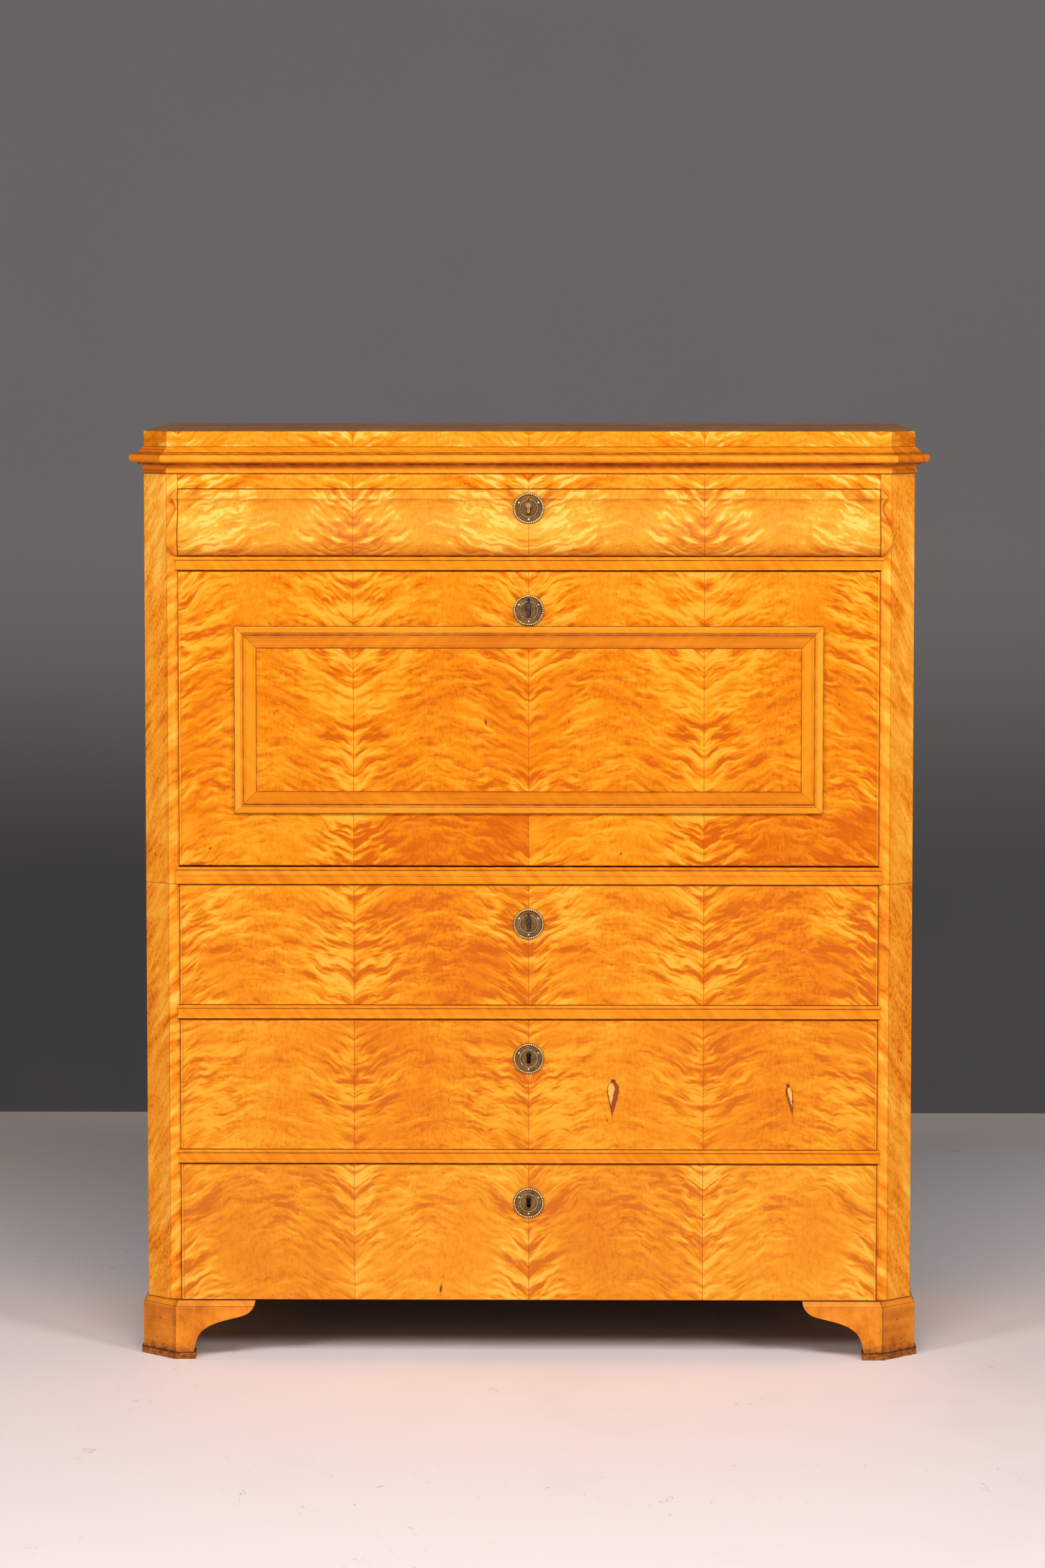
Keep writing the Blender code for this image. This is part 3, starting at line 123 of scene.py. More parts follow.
WALL_PLACE, ROOM_REACH, ROOM_HEIGHT = 2.15, 9, 6
LAMPS = {
    "lamp_left": ((-4.0, -4.9, 3.2), (0, 0, 0.6), (1.4, 1.4), 144),
    "lamp_right": ((4.0, -4.9, 3.2), (0, 0, 0.6), (1.4, 1.4), 162),
    "lamp_over": ((0.0, -4.2, 4.3), (0, -0.8, 0.3), (3.0, 1.4), 148),
}
CAMERA_SIDE, CAMERA_TILT, CAMERA_TURN = 0.085, 84.9, 0.697
FILM_HEIGHT, LENS = 36.0, 123.97


def colour_prop(name, description, value):
    return bpy.props.FloatVectorProperty(
        name=name, description=description, default=value, size=3, min=0, max=1, subtype="COLOR"
    )


def length_prop(name, description, value):
    kind = {"min": 0, "precision": 4, "unit": "LENGTH", "subtype": "DISTANCE"}
    return bpy.props.FloatProperty(name=name, description=description, default=value, **kind)


def count_prop(name, description, value):
    return bpy.props.IntProperty(name=name, description=description, default=value, min=3)


class VeneerSettings(bpy.types.PropertyGroup):
    """Figure and colours of the wood."""

    leaf: length_prop("Leaf width", "Width of one leaf of veneer, from joint to joint", 0.2515)
    arch: length_prop("Arch", "How far the flames rise from a joint to the middle of a leaf", 0.043)
    flame: length_prop("Flame spacing", "Distance from one flame to the next at the joints", 0.017)
    deep: colour_prop("Deep tone", "Darkest wood, in the hollows of the flames", (0.60, 0.108, 0.001))
    warm: colour_prop("Warm tone", "The wood between the flames", (0.76, 0.224, 0.003))
    bright: colour_prop("Bright tone", "The crests of the flames", (0.83, 0.345, 0.018))
    pale: colour_prop("Pale tone", "Wood bleached by light at the top of the case", (0.87, 0.52, 0.095))
    moulding: colour_prop("Moulding tone", "The straight grained mouldings", (0.77, 0.25, 0.008))
    pine: colour_prop("Pine tone", "Drawer sides, bottoms and backs", (0.56, 0.33, 0.14))


class FittingSettings(bpy.types.PropertyGroup):
    """Sizes and colours of the metal fittings."""

    outer_beads: count_prop("Outer beads", "Beads in the outer ring of a keyhole plate", 46)
    inner_beads: count_prop("Inner beads", "Beads in the inner ring of a keyhole plate", 42)
    outer_ring: length_prop("Outer ring", "Radius of the outer ring of beads", 0.0205)
    inner_ring: length_prop("Inner ring", "Radius of the inner ring of beads", 0.0126)
    outer_bead: length_prop("Outer bead", "Radius of a bead in the outer ring", 0.00118)
    inner_bead: length_prop("Inner bead", "Radius of a bead in the inner ring", 0.00072)
    pin_ring: length_prop("Pin ring", "Distance of the brass pins from the middle of a plate", 0.0158)
    pin_head: length_prop("Pin head", "Radius of a brass pin's head", 0.0016)
    screw_head: length_prop("Screw head", "Radius of a lock screw's head", 0.0026)
    screws_apart: length_prop("Screws apart", "Distance between the two screws in a row", 0.058)
    brass: colour_prop("Brass", "Rubbed brass", (0.74, 0.44, 0.155))
    tarnish: colour_prop("Tarnish", "Brass gone brown in the hollows", (0.20, 0.105, 0.033))
    iron: colour_prop("Iron", "Dark iron of the old keys and the locks", (0.15, 0.13, 0.12))


class StudioSettings(bpy.types.PropertyGroup):
    """Camera, lights and backdrop."""

    camera_height: length_prop("Camera height", "Height of the camera above the floor", 1.524)
    camera_distance: length_prop("Camera distance", "From the camera to the middle of the case", 7.948)
    # Painted light: the floor fades from the near colour to the far one, as the lamps' light falls off.
    floor_near: colour_prop("Floor near", "Floor in front of the object", (0.965, 0.875, 0.855))
    floor_far: colour_prop("Floor far", "Floor near the wall", (0.84, 0.72, 0.66))
    # Painted shade: the wall fades from the high colour down to the darker low one at its foot.
    wall_high: colour_prop("Wall high", "Upper part of the wall", (0.141, 0.127, 0.127))
    wall_low: colour_prop("Wall low", "Foot of the wall", (0.042, 0.040, 0.040))


class Value:
    """A node's output that can be reckoned with like a number."""

    def __init__(self, w, socket):
        self.w, self.socket = w, socket

    def __add__(self, other):
        return self.w.math("ADD", self, other)

    def __sub__(self, other):
        return self.w.math("SUBTRACT", self, other)

    def __rsub__(self, other):
        return self.w.math("SUBTRACT", other, self)

    def __mul__(self, other):
        return self.w.math("MULTIPLY", self, other)

    def __truediv__(self, other):
        return self.w.math("DIVIDE", self, other)

    def __abs__(self):
        return self.w.math("ABSOLUTE", self)

    __radd__, __rmul__ = __add__, __mul__


class Wiring:
    """Puts nodes in a tree and joins them up."""

    def __init__(self, tree):
        self.tree = tree

    def feed(self, socket, value):
        """Links an output to a socket, or sets the socket's value."""
        value = value.socket if isinstance(value, Value) else value
        if isinstance(value, bpy.types.NodeSocket):
            self.tree.links.new(value, socket)
        elif value is not None:
            socket.default_value = (*value, 1.0) if socket.type == "RGBA" else value

    def put(self, kind, feeds=None, **settings):
        """Adds a node. Feeds holds its inputs, by name or by number."""
        node = self.tree.nodes.new(kind)
        for name, value in settings.items():
            setattr(node, name, value)
        for socket, value in (feeds or {}).items():
            self.feed(node.inputs[socket], value)
        return node

    def get(self, kind, feeds=None, **settings):
        """Adds a node and returns its first output."""
        return self.all(kind, feeds, **settings)[0]

    def all(self, kind, feeds=None, **settings):
        """Adds a node and returns all its outputs."""
        return [Value(self, socket) for socket in self.put(kind, feeds, **settings).outputs]

    def geo(self, kind, **feeds):
        """Adds a geometry node and returns its first output. An input's name has _ where it has a space."""
        named = {name.replace("_", " "): value for name, value in feeds.items()}
        return self.get(f"GeometryNode{kind}", named)

    def math(self, operation, *values, clamp=False):
        return self.get("ShaderNodeMath", dict(enumerate(values)), operation=operation, use_clamp=clamp)

    def most(self, found, *others):
        for other in others:
            found = self.math("MAXIMUM", found, other)
        return found

    def swing(self, noise, reach):
        """A noise's swing about its middle."""
        return (noise - 0.5) * reach

    def away(self, a, b):
        """Distance from a point, from the two offsets."""
        return self.math("SQRT", a * a + b * b)

    def between(self, value, low, high, first=0.0, last=1.0, smooth=True):
        """Remaps a value from low..high to first..last, and holds it there."""
        feeds = dict(enumerate((value, low, high, first, last)))
        return self.get("ShaderNodeMapRange", feeds, interpolation_type="SMOOTHSTEP" if smooth else "LINEAR")

    def fade(self, value, low, high):
        """1 up to low and 0 from high on."""
        return self.between(value, low, high, 1.0, 0.0)

    def line(self, distance, half_width):
        """1 on a line and 0 off it, from a signed distance to its middle."""
        return self.fade(abs(distance), half_width * 0.5, half_width * 1.5)

    def vector(self, *parts):
        """A vector from its parts. A part that is to be scaled is a pair."""
        scaled = (part[0] * part[1] if isinstance(part, tuple) else part for part in parts)
        return self.get("ShaderNodeCombineXYZ", dict(enumerate(scaled)))

    def noise(self, parts, detail=2.0, rough=0.5, twist=0.0):
        feeds = {"Scale": 1.0, "Detail": detail, "Roughness": rough, "Distortion": twist}
        return self.get("ShaderNodeTexNoise", {"Vector": self.vector(*parts), **feeds})

    def mix(self, factor, a, b):
        node = self.put("ShaderNodeMix", {0: factor}, data_type="RGBA")
        for socket, value in zip((s for s in node.inputs if s.type == "RGBA"), (a, b)):
            self.feed(socket, value)
        return next(s for s in node.outputs if s.type == "RGBA")

    def ramp(self, factor, stops):
        node = self.put("ShaderNodeValToRGB", {0: factor})
        spots = node.color_ramp.elements
        while len(spots) < len(stops):
            spots.new(1.0)
        for spot, (place, colour) in zip(spots, stops):
            spot.position = place
            spot.color = (*colour, 1.0)
        return node.outputs[0]


class Finish:
    """A finish in the making: its material, the place it reads, its colour, figure, fibres and dark lines."""

    def __init__(self, name):
        self.material = bpy.data.materials.new(name)
        self.material.use_nodes = True
        self.w = Wiring(self.material.node_tree)
        place = self.w.put("ShaderNodeTexCoord").outputs["Object"]
        self.place = self.w.all("ShaderNodeSeparateXYZ", {0: place})
        self.veneer = bpy.context.scene.secretaire_veneer
        self.colour = self.figure = self.fibre = self.line = None

    def along(self, way):
        """One of the three coordinates, or what a function makes of them."""
        return self.place["XYZ".index(way)] if isinstance(way, str) else way(self.w, *self.place)

    def noise(self, scale, detail=2.0, rough=0.5, tall=None):
        """Noise of one scale in all directions, or of another one up the piece."""
        x, y, z = self.place
        return self.w.noise(((x, scale), (y, scale), (z, tall or scale)), detail, rough)

    def outside(self):
        """1 on the outside of a front and 0 behind it."""
        return self.w.math("LESS_THAN", self.place[1], FRONT_INSIDE)

    def past_mitre(self, corner=CASE_CORNER, face=CASE_FACE):
        """Signed distance past the mitre where a piece turns on to the canted corner."""
        x, y, _ = self.place
        turn = math.radians(22.5)
        return (abs(x) - corner) * math.cos(turn) + (y - face) * math.sin(turn)

    def tint(self, mask, colour, share=None):
        """Lays a colour over the finish where the mask is 1, or only a share of it."""
        self.colour = self.w.mix(mask * share if share else mask, self.colour, colour)

    def polish(self, roughness, height, depth, distance=0.0004, rounding=0.0, shine=None):
        """Joins colour, roughness and relief to the shader. Rounding softens the light on narrow facets."""
        bump = self.w.put("ShaderNodeBump", {"Strength": depth, "Distance": distance, "Height": height})
        if rounding:
            self.w.feed(bump.inputs["Normal"], self.w.get("ShaderNodeBevel", {"Radius": rounding}, samples=6))
        shader = self.material.node_tree.nodes["Principled BSDF"]
        feeds = {"Base Color": self.colour, "Roughness": roughness, "Specular IOR Level": shine}
        for name, value in {**feeds, "Normal": bump.outputs[0]}.items():
            self.w.feed(shader.inputs[name], value)
        return self.material


def shade(colour, share):
    """A colour made lighter or darker."""
    return tuple(min(1.0, c * share) for c in colour)


def deepened(colour, share):
    """A colour made darker and redder, as polish over dark wood is."""
    return colour[0] * share, colour[1] * share**2, colour[2] * share**3


def halfway(a, b):
    return [(p + q) / 2 for p, q in zip(a, b)]


def flame_group():
    """The flame figure of birch: arched silky folds at the joints, a freckled calm middle, fine fibres."""
    tree = bpy.data.node_groups.new("flame figure", "ShaderNodeTree")
    names = ("Across", "Up", "Leaf", "Arch", "Spacing", "Sample", "Calm")
    for name, value in zip(names, (0.0, 0.0, 0.25, 0.04, 0.019, 0.0, 0.6)):
        given = tree.interface.new_socket(name=name, in_out="INPUT", socket_type="NodeSocketFloat")
        given.default_value = value
    for name in ("Figure", "Fibre"):
        tree.interface.new_socket(name=name, in_out="OUTPUT", socket_type="NodeSocketFloat")
    w = Wiring(tree)
    across, up, leaf, arch, spacing, sample, calm = w.all("NodeGroupInput")[: len(names)]

    def layer(wide, tall, seed, detail=2.0, rough=0.5, twist=0.0, rise=up):
        """Noise with its own scales across and up the leaf, and its own seed."""
        return w.noise(((across, wide), (rise, tall), sample + seed), detail, rough, twist)

    from_middle = abs(across / leaf * 2.0 - 1.0)
    arched = arch * (1.0 - w.math("POWER", from_middle, 1.75))
    slow = layer(9.0, 7.0, 0.0, 2.0, 0.55)
    quick = layer(38.0, 30.0, 3.0, 1.0)
    shiver = layer(95.0, 60.0, 5.0, 2.0, 0.6)
    drift = w.swing(slow, 0.055) + w.swing(quick, 0.012) + w.swing(shiver, 0.003)
    bands = (up - arched + drift) / spacing

    fold, next_fold = (layer(25.0, 1.0, 7.0, rise=bands + step) for step in (0.0, 0.17))
    broad, next_broad = (layer(15.0, 0.52, 19.0, rise=bands + step) for step in (0.0, 0.3))
    crest = w.math("POWER", w.math("SUBTRACT", 1.0, abs(fold * 3.6 - 1.8), clamp=True), 4.0)
    fine = layer(42.0, 2.9, 11.0, 1.0, rise=bands)
    silk = (next_fold - fold) * 6.0 + (crest - 0.2) * 0.6 + w.swing(fine, 1.5)
    silk += (next_broad - broad) * 5.0 + w.swing(broad, 1.7)
    patch = layer(12.0, 10.0, 17.0)
    at_joint = w.between(from_middle, 0.1, 0.85, 1.0 - calm, 1.0)
    strength = at_joint * w.between(patch, 0.3, 0.66, 0.3, 1.35)
    cloud = layer(7.0, 6.0, 23.0, 3.0, 0.6)
    specks = layer(230.0, 110.0, 29.0, 3.0, 0.7, 0.15)
    speckle = (w.between(specks, 0.34, 0.56) - 0.8) * (1.25 - at_joint)
    fibre = layer(1500.0, 14.0, 0.0, 2.0, 0.6)
    figure = 0.46 + silk * (strength * 0.68) + w.swing(cloud, 0.92) + speckle * 0.26 + w.swing(fibre, 0.24)
    w.put("NodeGroupOutput", {0: figure, 1: fibre})
    return tree


def veneer_finish(name, sample, across, up, tone, arch=None, leaf=None, extra=None, lift=0.0, haze=0.0):
    """Book matched flame veneer. Each joint between leaves mirrors the figure and shows as a fine line."""
    f = Finish(name)
    w, veneer, side = f.w, f.veneer, f.along(across)
    leaf = leaf or veneer.leaf
    arch = arch or veneer.arch
    from_edge = side + 8 * leaf
    mirrored = w.math("PINGPONG", from_edge, leaf)
    count = w.math("FLOOR", from_edge / leaf)
    odd = w.math("PINGPONG", count, 1.0) * 2.0 - 1.0
    own = sample + count * 0.045
    feeds = dict(enumerate((mirrored, f.along(up), leaf, arch, veneer.flame, own)))
    group = bpy.data.node_groups.get("flame figure") or flame_group()
    figure, f.fibre = w.all("ShaderNodeGroup", feeds, node_tree=group)
    figure += odd * tone + lift
    if extra:
        figure = extra(f, figure, odd)
    f.figure = w.math("SMOOTH_MAX", w.math("SMOOTH_MIN", figure, 0.89 + lift, 0.3), 0.08, 0.25)
    stops = (
        (0.04, deepened(veneer.deep, 0.9)),
        (0.24, halfway(veneer.deep, veneer.warm)),
        (0.47, veneer.warm),
        (0.66, halfway(veneer.warm, veneer.bright)),
        (0.84, veneer.bright),
        (1.0, veneer.pale),
    )
    f.colour = w.ramp(f.figure, stops)
    if haze:
        f.tint(haze, veneer.pale)
    joint = w.math("PINGPONG", from_edge + w.swing(f.fibre, 0.0004), leaf)
    near = w.math("MINIMUM", joint, leaf - joint)
    line = w.fade(near, 0.0002, 0.0008) * 0.6
    f.line = line * w.fade(abs(side), OUTER_EDGE - 0.002, OUTER_EDGE)
    f.tint(f.line, SEAM_AND_CREASE_SHADE)
    return f


def wear_and_shade_edges(f, node, lipping=0.0):
    """Darkens the worn edges of a front, shows the lipping down its two ends and paints shade under its rail.
    """
    w, (x, _, z) = f.w, f.place
    low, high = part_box(node)
    from_end = high.x - abs(x)
    from_level = w.math("MINIMUM", z - low.z, high.z - z)
    if lipping:
        strip = w.fade(from_end, lipping - 2 * HAIR, lipping + 2 * HAIR)
        f.tint(strip, shade(f.veneer.bright, 0.95), 0.35)
        f.tint(w.line(from_end - lipping, 0.0004), SEAM_AND_CREASE_SHADE, 0.45)
    dents = f.noise(90.0)
    near = w.math("MINIMUM", from_end, from_level)
    reach = w.between(dents, 0.3, 0.8, 0.0005, 0.0018)
    worn = w.fade(near / reach, 0.3, 1.0)
    f.tint(worn, SEAM_AND_CREASE_SHADE, 0.42)
    if lipping:
        # Painted shade: a dark band at the top of the front, under the rail above it.
        from_rail = high.z - z + w.swing(dents, 0.0012)
        f.tint(f.outside() * w.between(from_rail, 0.0005, 0.0017, 0.8, 0.0), QUIRK_DIRT_AND_SHADE)
    f.line = w.most(f.line, worn * 0.5)


def darken_top(f):
    """Darkens the upper face to a mottled brown, and blotches and mitres the canted corners."""
    w, (x, y, _) = f.w, f.place
    normal = w.put("ShaderNodeNewGeometry").outputs["Normal"]
    upward = w.between(w.put("ShaderNodeSeparateXYZ", {0: normal}).outputs[2], 0.8, 0.95)
    rings = w.noise(((x, 7.0), (y, 7.0), 0.0), 4.0, 0.6)
    f.tint(upward * w.between(rings, 0.3, 0.7, 0.55, 0.8), TOP_BROWN)
    past = f.past_mitre()
    blotch = f.noise(60.0, 3.0, 0.6, 90.0)
    edge = 1.0 - upward
    turned = w.between(past, -HAIR, HAIR) * w.between(blotch, 0.35, 0.6, 0.85, 0.3)
    f.tint(edge * turned, CANT_BLOTCH)
    mitre = edge * w.line(past, 0.0004)
    f.tint(mitre, SEAM_AND_CREASE_SHADE, 0.7)
    f.line = w.most(f.line, mitre * 0.6)


def scar(f, knots, chips):
    """Adds small knots and lost chips of veneer to the outside of a front."""
    w, (x, _, z) = f.w, f.place
    whole, marks = f.colour, [0.0]
    for px, pz, wide, tall, lean in knots:
        from_middle = z - pz
        across = (x - px - from_middle * lean) / wide
        away = w.away(across, from_middle / tall) + w.swing(f.fibre, 0.5)
        f.tint(w.between(away, 0.9, 2.4, 0.4, 0.0), KNOT_HALO)
        marks.append(w.between(away, 0.6, 1.05, 0.92, 0.0))
        f.tint(marks[-1], KNOT)
    ragged = w.swing(w.noise(((x, 260.0), (z, 260.0), 1.0), 2.0), 0.004)

    def blade(px, pz, tall, wide, lean):
        """Depth inside a leaf shape that stands on its tip, and the share of its height."""
        rise = z - pz
        share = rise / tall
        half = w.between(share, 0.0, 0.7, 0.0, wide / 2, smooth=False) * w.between(share, 0.8, 1.0, 1.0, 0.35)
        off = abs(x - px - rise * lean + ragged)
        return w.math("MINIMUM", half - off, (1.0 - share) * (tall * 0.3)), share

    for px, pz, tall, wide, lean in chips:
        within, share = blade(px, pz, tall, wide, lean)
        marks.append(w.between(within, -HAIR, 2 * HAIR))
        splinter, _ = blade(px - wide * 0.12, pz + tall * 0.3, tall * 0.64, wide * 0.62, lean)
        rim = w.line(within, 0.0005) * w.between(share, 0.0, 0.3, 0.0, 1.0)
        f.tint(marks[-1], CHIP_GROUND)
        f.tint(w.between(splinter, 0.0, 4 * HAIR), CHIP_SPLINTER)
        f.tint(rim, CHIP_RIM, 0.85)
    f.colour = w.mix(f.outside(), whole, f.colour)
    f.line = w.most(f.line, f.outside() * w.most(*marks))


def end_veneer(f, shine=SATIN, dull=0.0, rounding=0.0):
    """Adds small dark pores and hairs, the polish and its relief."""
    w = f.w
    pores = w.between(f.noise(420.0, 1.0, tall=170.0), 0.77, 0.81)
    f.tint(pores, PORE, 0.7)
    gloss = f.noise(30.0, 3.0, 0.65)
    rough = w.between(gloss, 0.3, 0.7, 0.27 + dull, 0.40 + dull)
    height = f.figure * 0.35 - pores * 0.5 - f.line * 0.4
    return f.polish(rough, height, 0.16, rounding=rounding, shine=shine)


def dress(node, material):
    """Puts one material in every slot of a CAD node."""
    slots = NODES[node].data.materials
    if not slots:
        slots.append(material)
    for i in range(len(slots)):
        slots[i] = material


def straight_grain(w, run, cross, sample, curl):
    """Long streaks along the run with silky bars across them. Returns the figure and its streaks."""
    streak = w.noise(((run, 3.5), (cross, 420.0), sample), 3.0, 0.6)
    broad = w.noise(((run, 7.0), (cross, 40.0), sample + 5.0), 2.0)
    lean = run + cross * 0.9
    bars = w.noise(((lean, 78.0), (cross, 14.0), sample + 9.0), 2.0, 0.45)
    return 0.52 + w.swing(streak, 0.42) + w.swing(broad, 0.55) + w.swing(bars, curl), streak


def tone_ramp(w, figure, tone, deep):
    """Colours a figure in shades of one tone."""
    bright = [min(0.98, c * 1.22 + 0.012) for c in tone]
    stops = (
        (0.06, deepened(deep, 0.9)),
        (0.28, deepened(tone, 0.8)),
        (0.45, deepened(tone, 0.9)),
        (0.6, tone),
        (0.9, bright),
    )
    return w.ramp(figure, stops)


def moulding_finish(name, sample, quirks=(), curl=0.7, tone=1.0, mitred=False, layout=None):
    """Straight grained moulding with dirt and painted shade in its quirks. Each quirk is a height and a half
    width.
    Layout turns the coordinates into run, cross, more dark lines, sample and a lift of the tone, which paints
    light on some mouldings."""
    f = Finish(name)
    w, (x, y, z) = f.w, f.place
    run, cross, marks, lift = x, z + y, [], 0.0
    if layout:
        run, cross, marks, sample, lift = layout(w, x, y, z, sample)
    figure, streak = straight_grain(w, run, cross, sample, curl)
    figure += lift
    if mitred:
        past = f.past_mitre()
        turned, _ = straight_grain(w, x + y, z + 0.3, sample + 2.0, curl)
        turned = turned * 1.5 - 0.52
        on_cant = w.between(past, -HAIR, HAIR)
        figure = figure * (1.0 - on_cant) + turned * on_cant
        marks.append(w.line(past, 0.0004))
    marks += [w.line(z - place, half) for place, half in quirks]
    f.colour = tone_ramp(w, figure, shade(f.veneer.moulding, tone), f.veneer.deep)
    height = streak * 0.5
    if marks:
        dirt = w.most(*marks)
        smear = w.noise(((run, 60.0), (cross, 60.0), 3.0), 2.0)
        # The dark lines are dirt and painted shade, in the quirks and joints where shade falls.
        f.tint(dirt * w.between(smear, 0.25, 0.7, 0.45, 0.95), QUIRK_DIRT_AND_SHADE)
        height -= dirt * 0.7
    gloss = f.noise(40.0)
    return f.polish(w.between(gloss, 0.3, 0.7, 0.24, 0.38), height, 0.2, shine=SATIN)


def curl_finish(name, sample, across, bleached):
    """Narrow strips of curly veneer: slanting silky bars on a mottled ground, a dark line at each corner
    and painted shade in its creases. Bleached is how much paler the cants are at the top."""
    f = Finish(name)
    w, (x, _, z) = f.w, f.place
    side = f.along(across)

    def layer(wide, tall, seed, detail=2.0, rough=0.5, rise=z):
        return w.noise(((side, wide), (rise, tall), sample + seed), detail, rough)

    drift = layer(14.0, 9.0, 0.0, 2.0, 0.6)
    bands = (z + side * 0.8 + drift * 0.03) / 0.02
    fold, next_fold = (layer(24.0, 1.0, 4.0, 2.0, 0.45, rise=bands + step) for step in (0.0, 0.2))
    patch = layer(20.0, 9.0, 8.0)
    cloud = layer(12.0, 5.0, 12.0, 3.0, 0.65)
    fleck = layer(260.0, 150.0, 16.0, 3.0, 0.7)
    f.fibre = layer(1400.0, 16.0, 0.0, 2.0, 0.6)
    on_front = w.math("LESS_THAN", abs(x), CASE_CORNER)
    silk = (next_fold - fold) * 3.6 + w.swing(fold, 2.4)
    strength = w.between(patch, 0.3, 0.7, 0.22, 0.6) * (1.0 + on_front * 0.5)
    pits = (w.between(fleck, 0.38, 0.53) - 0.8) * (1.0 - on_front * 0.6)
    f.figure = 0.5 + silk * strength + w.swing(cloud, 0.9) + pits * w.between(cloud, 0.35, 0.65, 0.36, 0.14)
    f.figure += w.swing(f.fibre, 0.2)
    f.figure += (1.0 - on_front) * w.between(z, 1.0, 1.25, 0.0, bleached)
    f.colour = w.ramp(f.figure, POST_TONES)
    f.line = w.line(abs(x) - CASE_CORNER, 0.0006)
    f.tint(f.line, SEAM_AND_CREASE_SHADE, 0.45)
    # Painted shade: ambient occlusion darkens the post's own creases and hollows, such as where an ogee end
    # meets its face.
    hollow = w.put("ShaderNodeAmbientOcclusion", {"Distance": 0.006}, samples=4, only_local=True)
    crease_shade = w.fade(hollow.outputs["AO"], 0.45, 0.9)
    f.tint(crease_shade, SEAM_AND_CREASE_SHADE, 0.75)
    return f


def flap_frame_layout():
    """Grain, quirks, mitres and painted light of the mitred frame on the flap, measured inwards from its outer
    edge.
    """
    low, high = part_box("fall_moulding")
    half_wide, half_high = (high.x - low.x) / 2, (high.z - low.z) / 2
    middle = (high.z + low.z) / 2
    lines = ((0.0098, 0.0006, 0.55), (0.0132, 0.0011, 0.7), (0.032, 0.0011, 1.0))

    def layout(w, x, y, z, sample):
        from_side = half_wide - abs(x)
        from_level = half_high - abs(z - middle)
        upright = w.math("LESS_THAN", from_side, from_level)
        level = 1.0 - upright
        inward = w.math("MINIMUM", from_side, from_level)
        # The dark line at the frame's outer edge is dirt and painted shade around it.
        marks = [w.line(inward, 0.0012), w.line(from_side - from_level, 0.0006)]
        for place, half, on_upright in lines:
            mark = w.line(inward - place, half)
            marks.append(mark * w.between(upright, 0.0, 1.0, 1.0, on_upright))
        # The lift is painted light: highlights on the outer round band, painted shade in the hollow inside it
        # and on the inner strip of the level rails; the uprights are made lighter.
        lift = w.between(inward, 0.009, 0.0128, 0.17, -0.12) + upright * 0.2
        lift -= level * w.between(inward, 0.027, 0.032, 0.0, 0.12)
        run = z * upright + x * level
        return run, inward, marks, sample + upright * 4.0, lift

    return layout


def cornice_light_layout(w, x, y, z, sample):
    """Painted light: highlights on the bold round and the lowest member, painted shade in the hollow between
    them.
    """
    low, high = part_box("cornice_moulding")
    down = (high.z - z) / (high.z - low.z)
    lift = w.between(down, 0.27, 0.36) * w.between(down, 0.5, 0.6, 0.09, 0.0)
    lift -= w.between(down, 0.62, 0.64) * w.between(down, 0.72, 0.82, 0.3, 0.0)
    lift += w.between(down, 0.78, 0.84) * w.between(down, 0.94, 0.98, 0.16, -0.1)
    return x, z + y, [], sample, lift


def foot_finish(name, sample):
    """Browner wood, scuffed and dark at the toe, with lines round its strips and nail holes in its cant."""
    f = Finish(name)
    w, (x, y, z) = f.w, f.place
    run = abs(x) - y
    streak = w.noise(((run, 620.0), (z, 30.0), sample), 3.0, 0.6)
    mottle = w.noise(((run, 75.0), (z, 60.0), sample + 3.0), 3.0, 0.6, twist=0.3)
    cloud = f.noise(24.0, 4.0, 0.65)
    strip = w.between(z, 0.0755, 0.0775, 0.0, 0.16)
    figure = 0.5 + w.swing(streak, 0.4) + w.swing(mottle, 0.5) + w.swing(cloud, 1.0) + strip
    past = f.past_mitre(FOOT_CORNER, FOOT_FACE)
    on_cant = w.between(past, -HAIR, HAIR) * w.between(past, 0.0, 0.012, 0.22, 0.07)
    f.colour = w.ramp(figure - on_cant, FOOT_TONES)
    grime = f.noise(120.0, 4.0, 0.7, 160.0)
    toe = w.between(z + w.swing(grime, 0.035), 0.006, 0.022, 0.85, 0.0)
    f.tint(toe, w.mix(w.between(grime, 0.42, 0.6), TOE_DARK, TOE_RUBBED))
    marks = [
        w.line(z - 0.0095, 0.0006),
        w.line(z - 0.0765, 0.0004) * 0.7,
        w.line(z - 0.0845, 0.0006),
        w.line(past, 0.0009) * w.between(grime, 0.35, 0.6, 0.3, 0.75),
        w.between(grime, 0.66, 0.72) * 0.7,
    ]
    for px, pz in ((0.5405, 0.0262), (0.5295, 0.0182), (0.5345, 0.0555)):
        away = w.away(abs(x) - px, z - pz)
        marks.append(w.fade(away, 0.0008, 0.0014))
    marks = w.most(*marks)
    f.tint(marks, FOOT_MARK, 0.85)
    height = streak * 0.5 - marks * 1.5
    return f.polish(w.between(cloud, 0.3, 0.7, 0.32, 0.5), height, 0.25, shine=SATIN)


def nail_rows(w, x, z, low, high, pitch=0.118, inset=0.012):
    """Cut nails along the four edges of a back: 1 on each head."""
    found = []
    for along, start, across, edges in ((x, low.x, z, (low.z, high.z)), (z, low.z, x, (low.x, high.x))):
        step = w.math("FRACT", (along - start) / pitch) * pitch - pitch / 2
        for edge, way in zip(edges, (1.0, -1.0)):
            away = w.away(step, across - (edge + way * inset))
            found.append(w.fade(away, 0.0019, 0.0024))
    return w.most(*found)


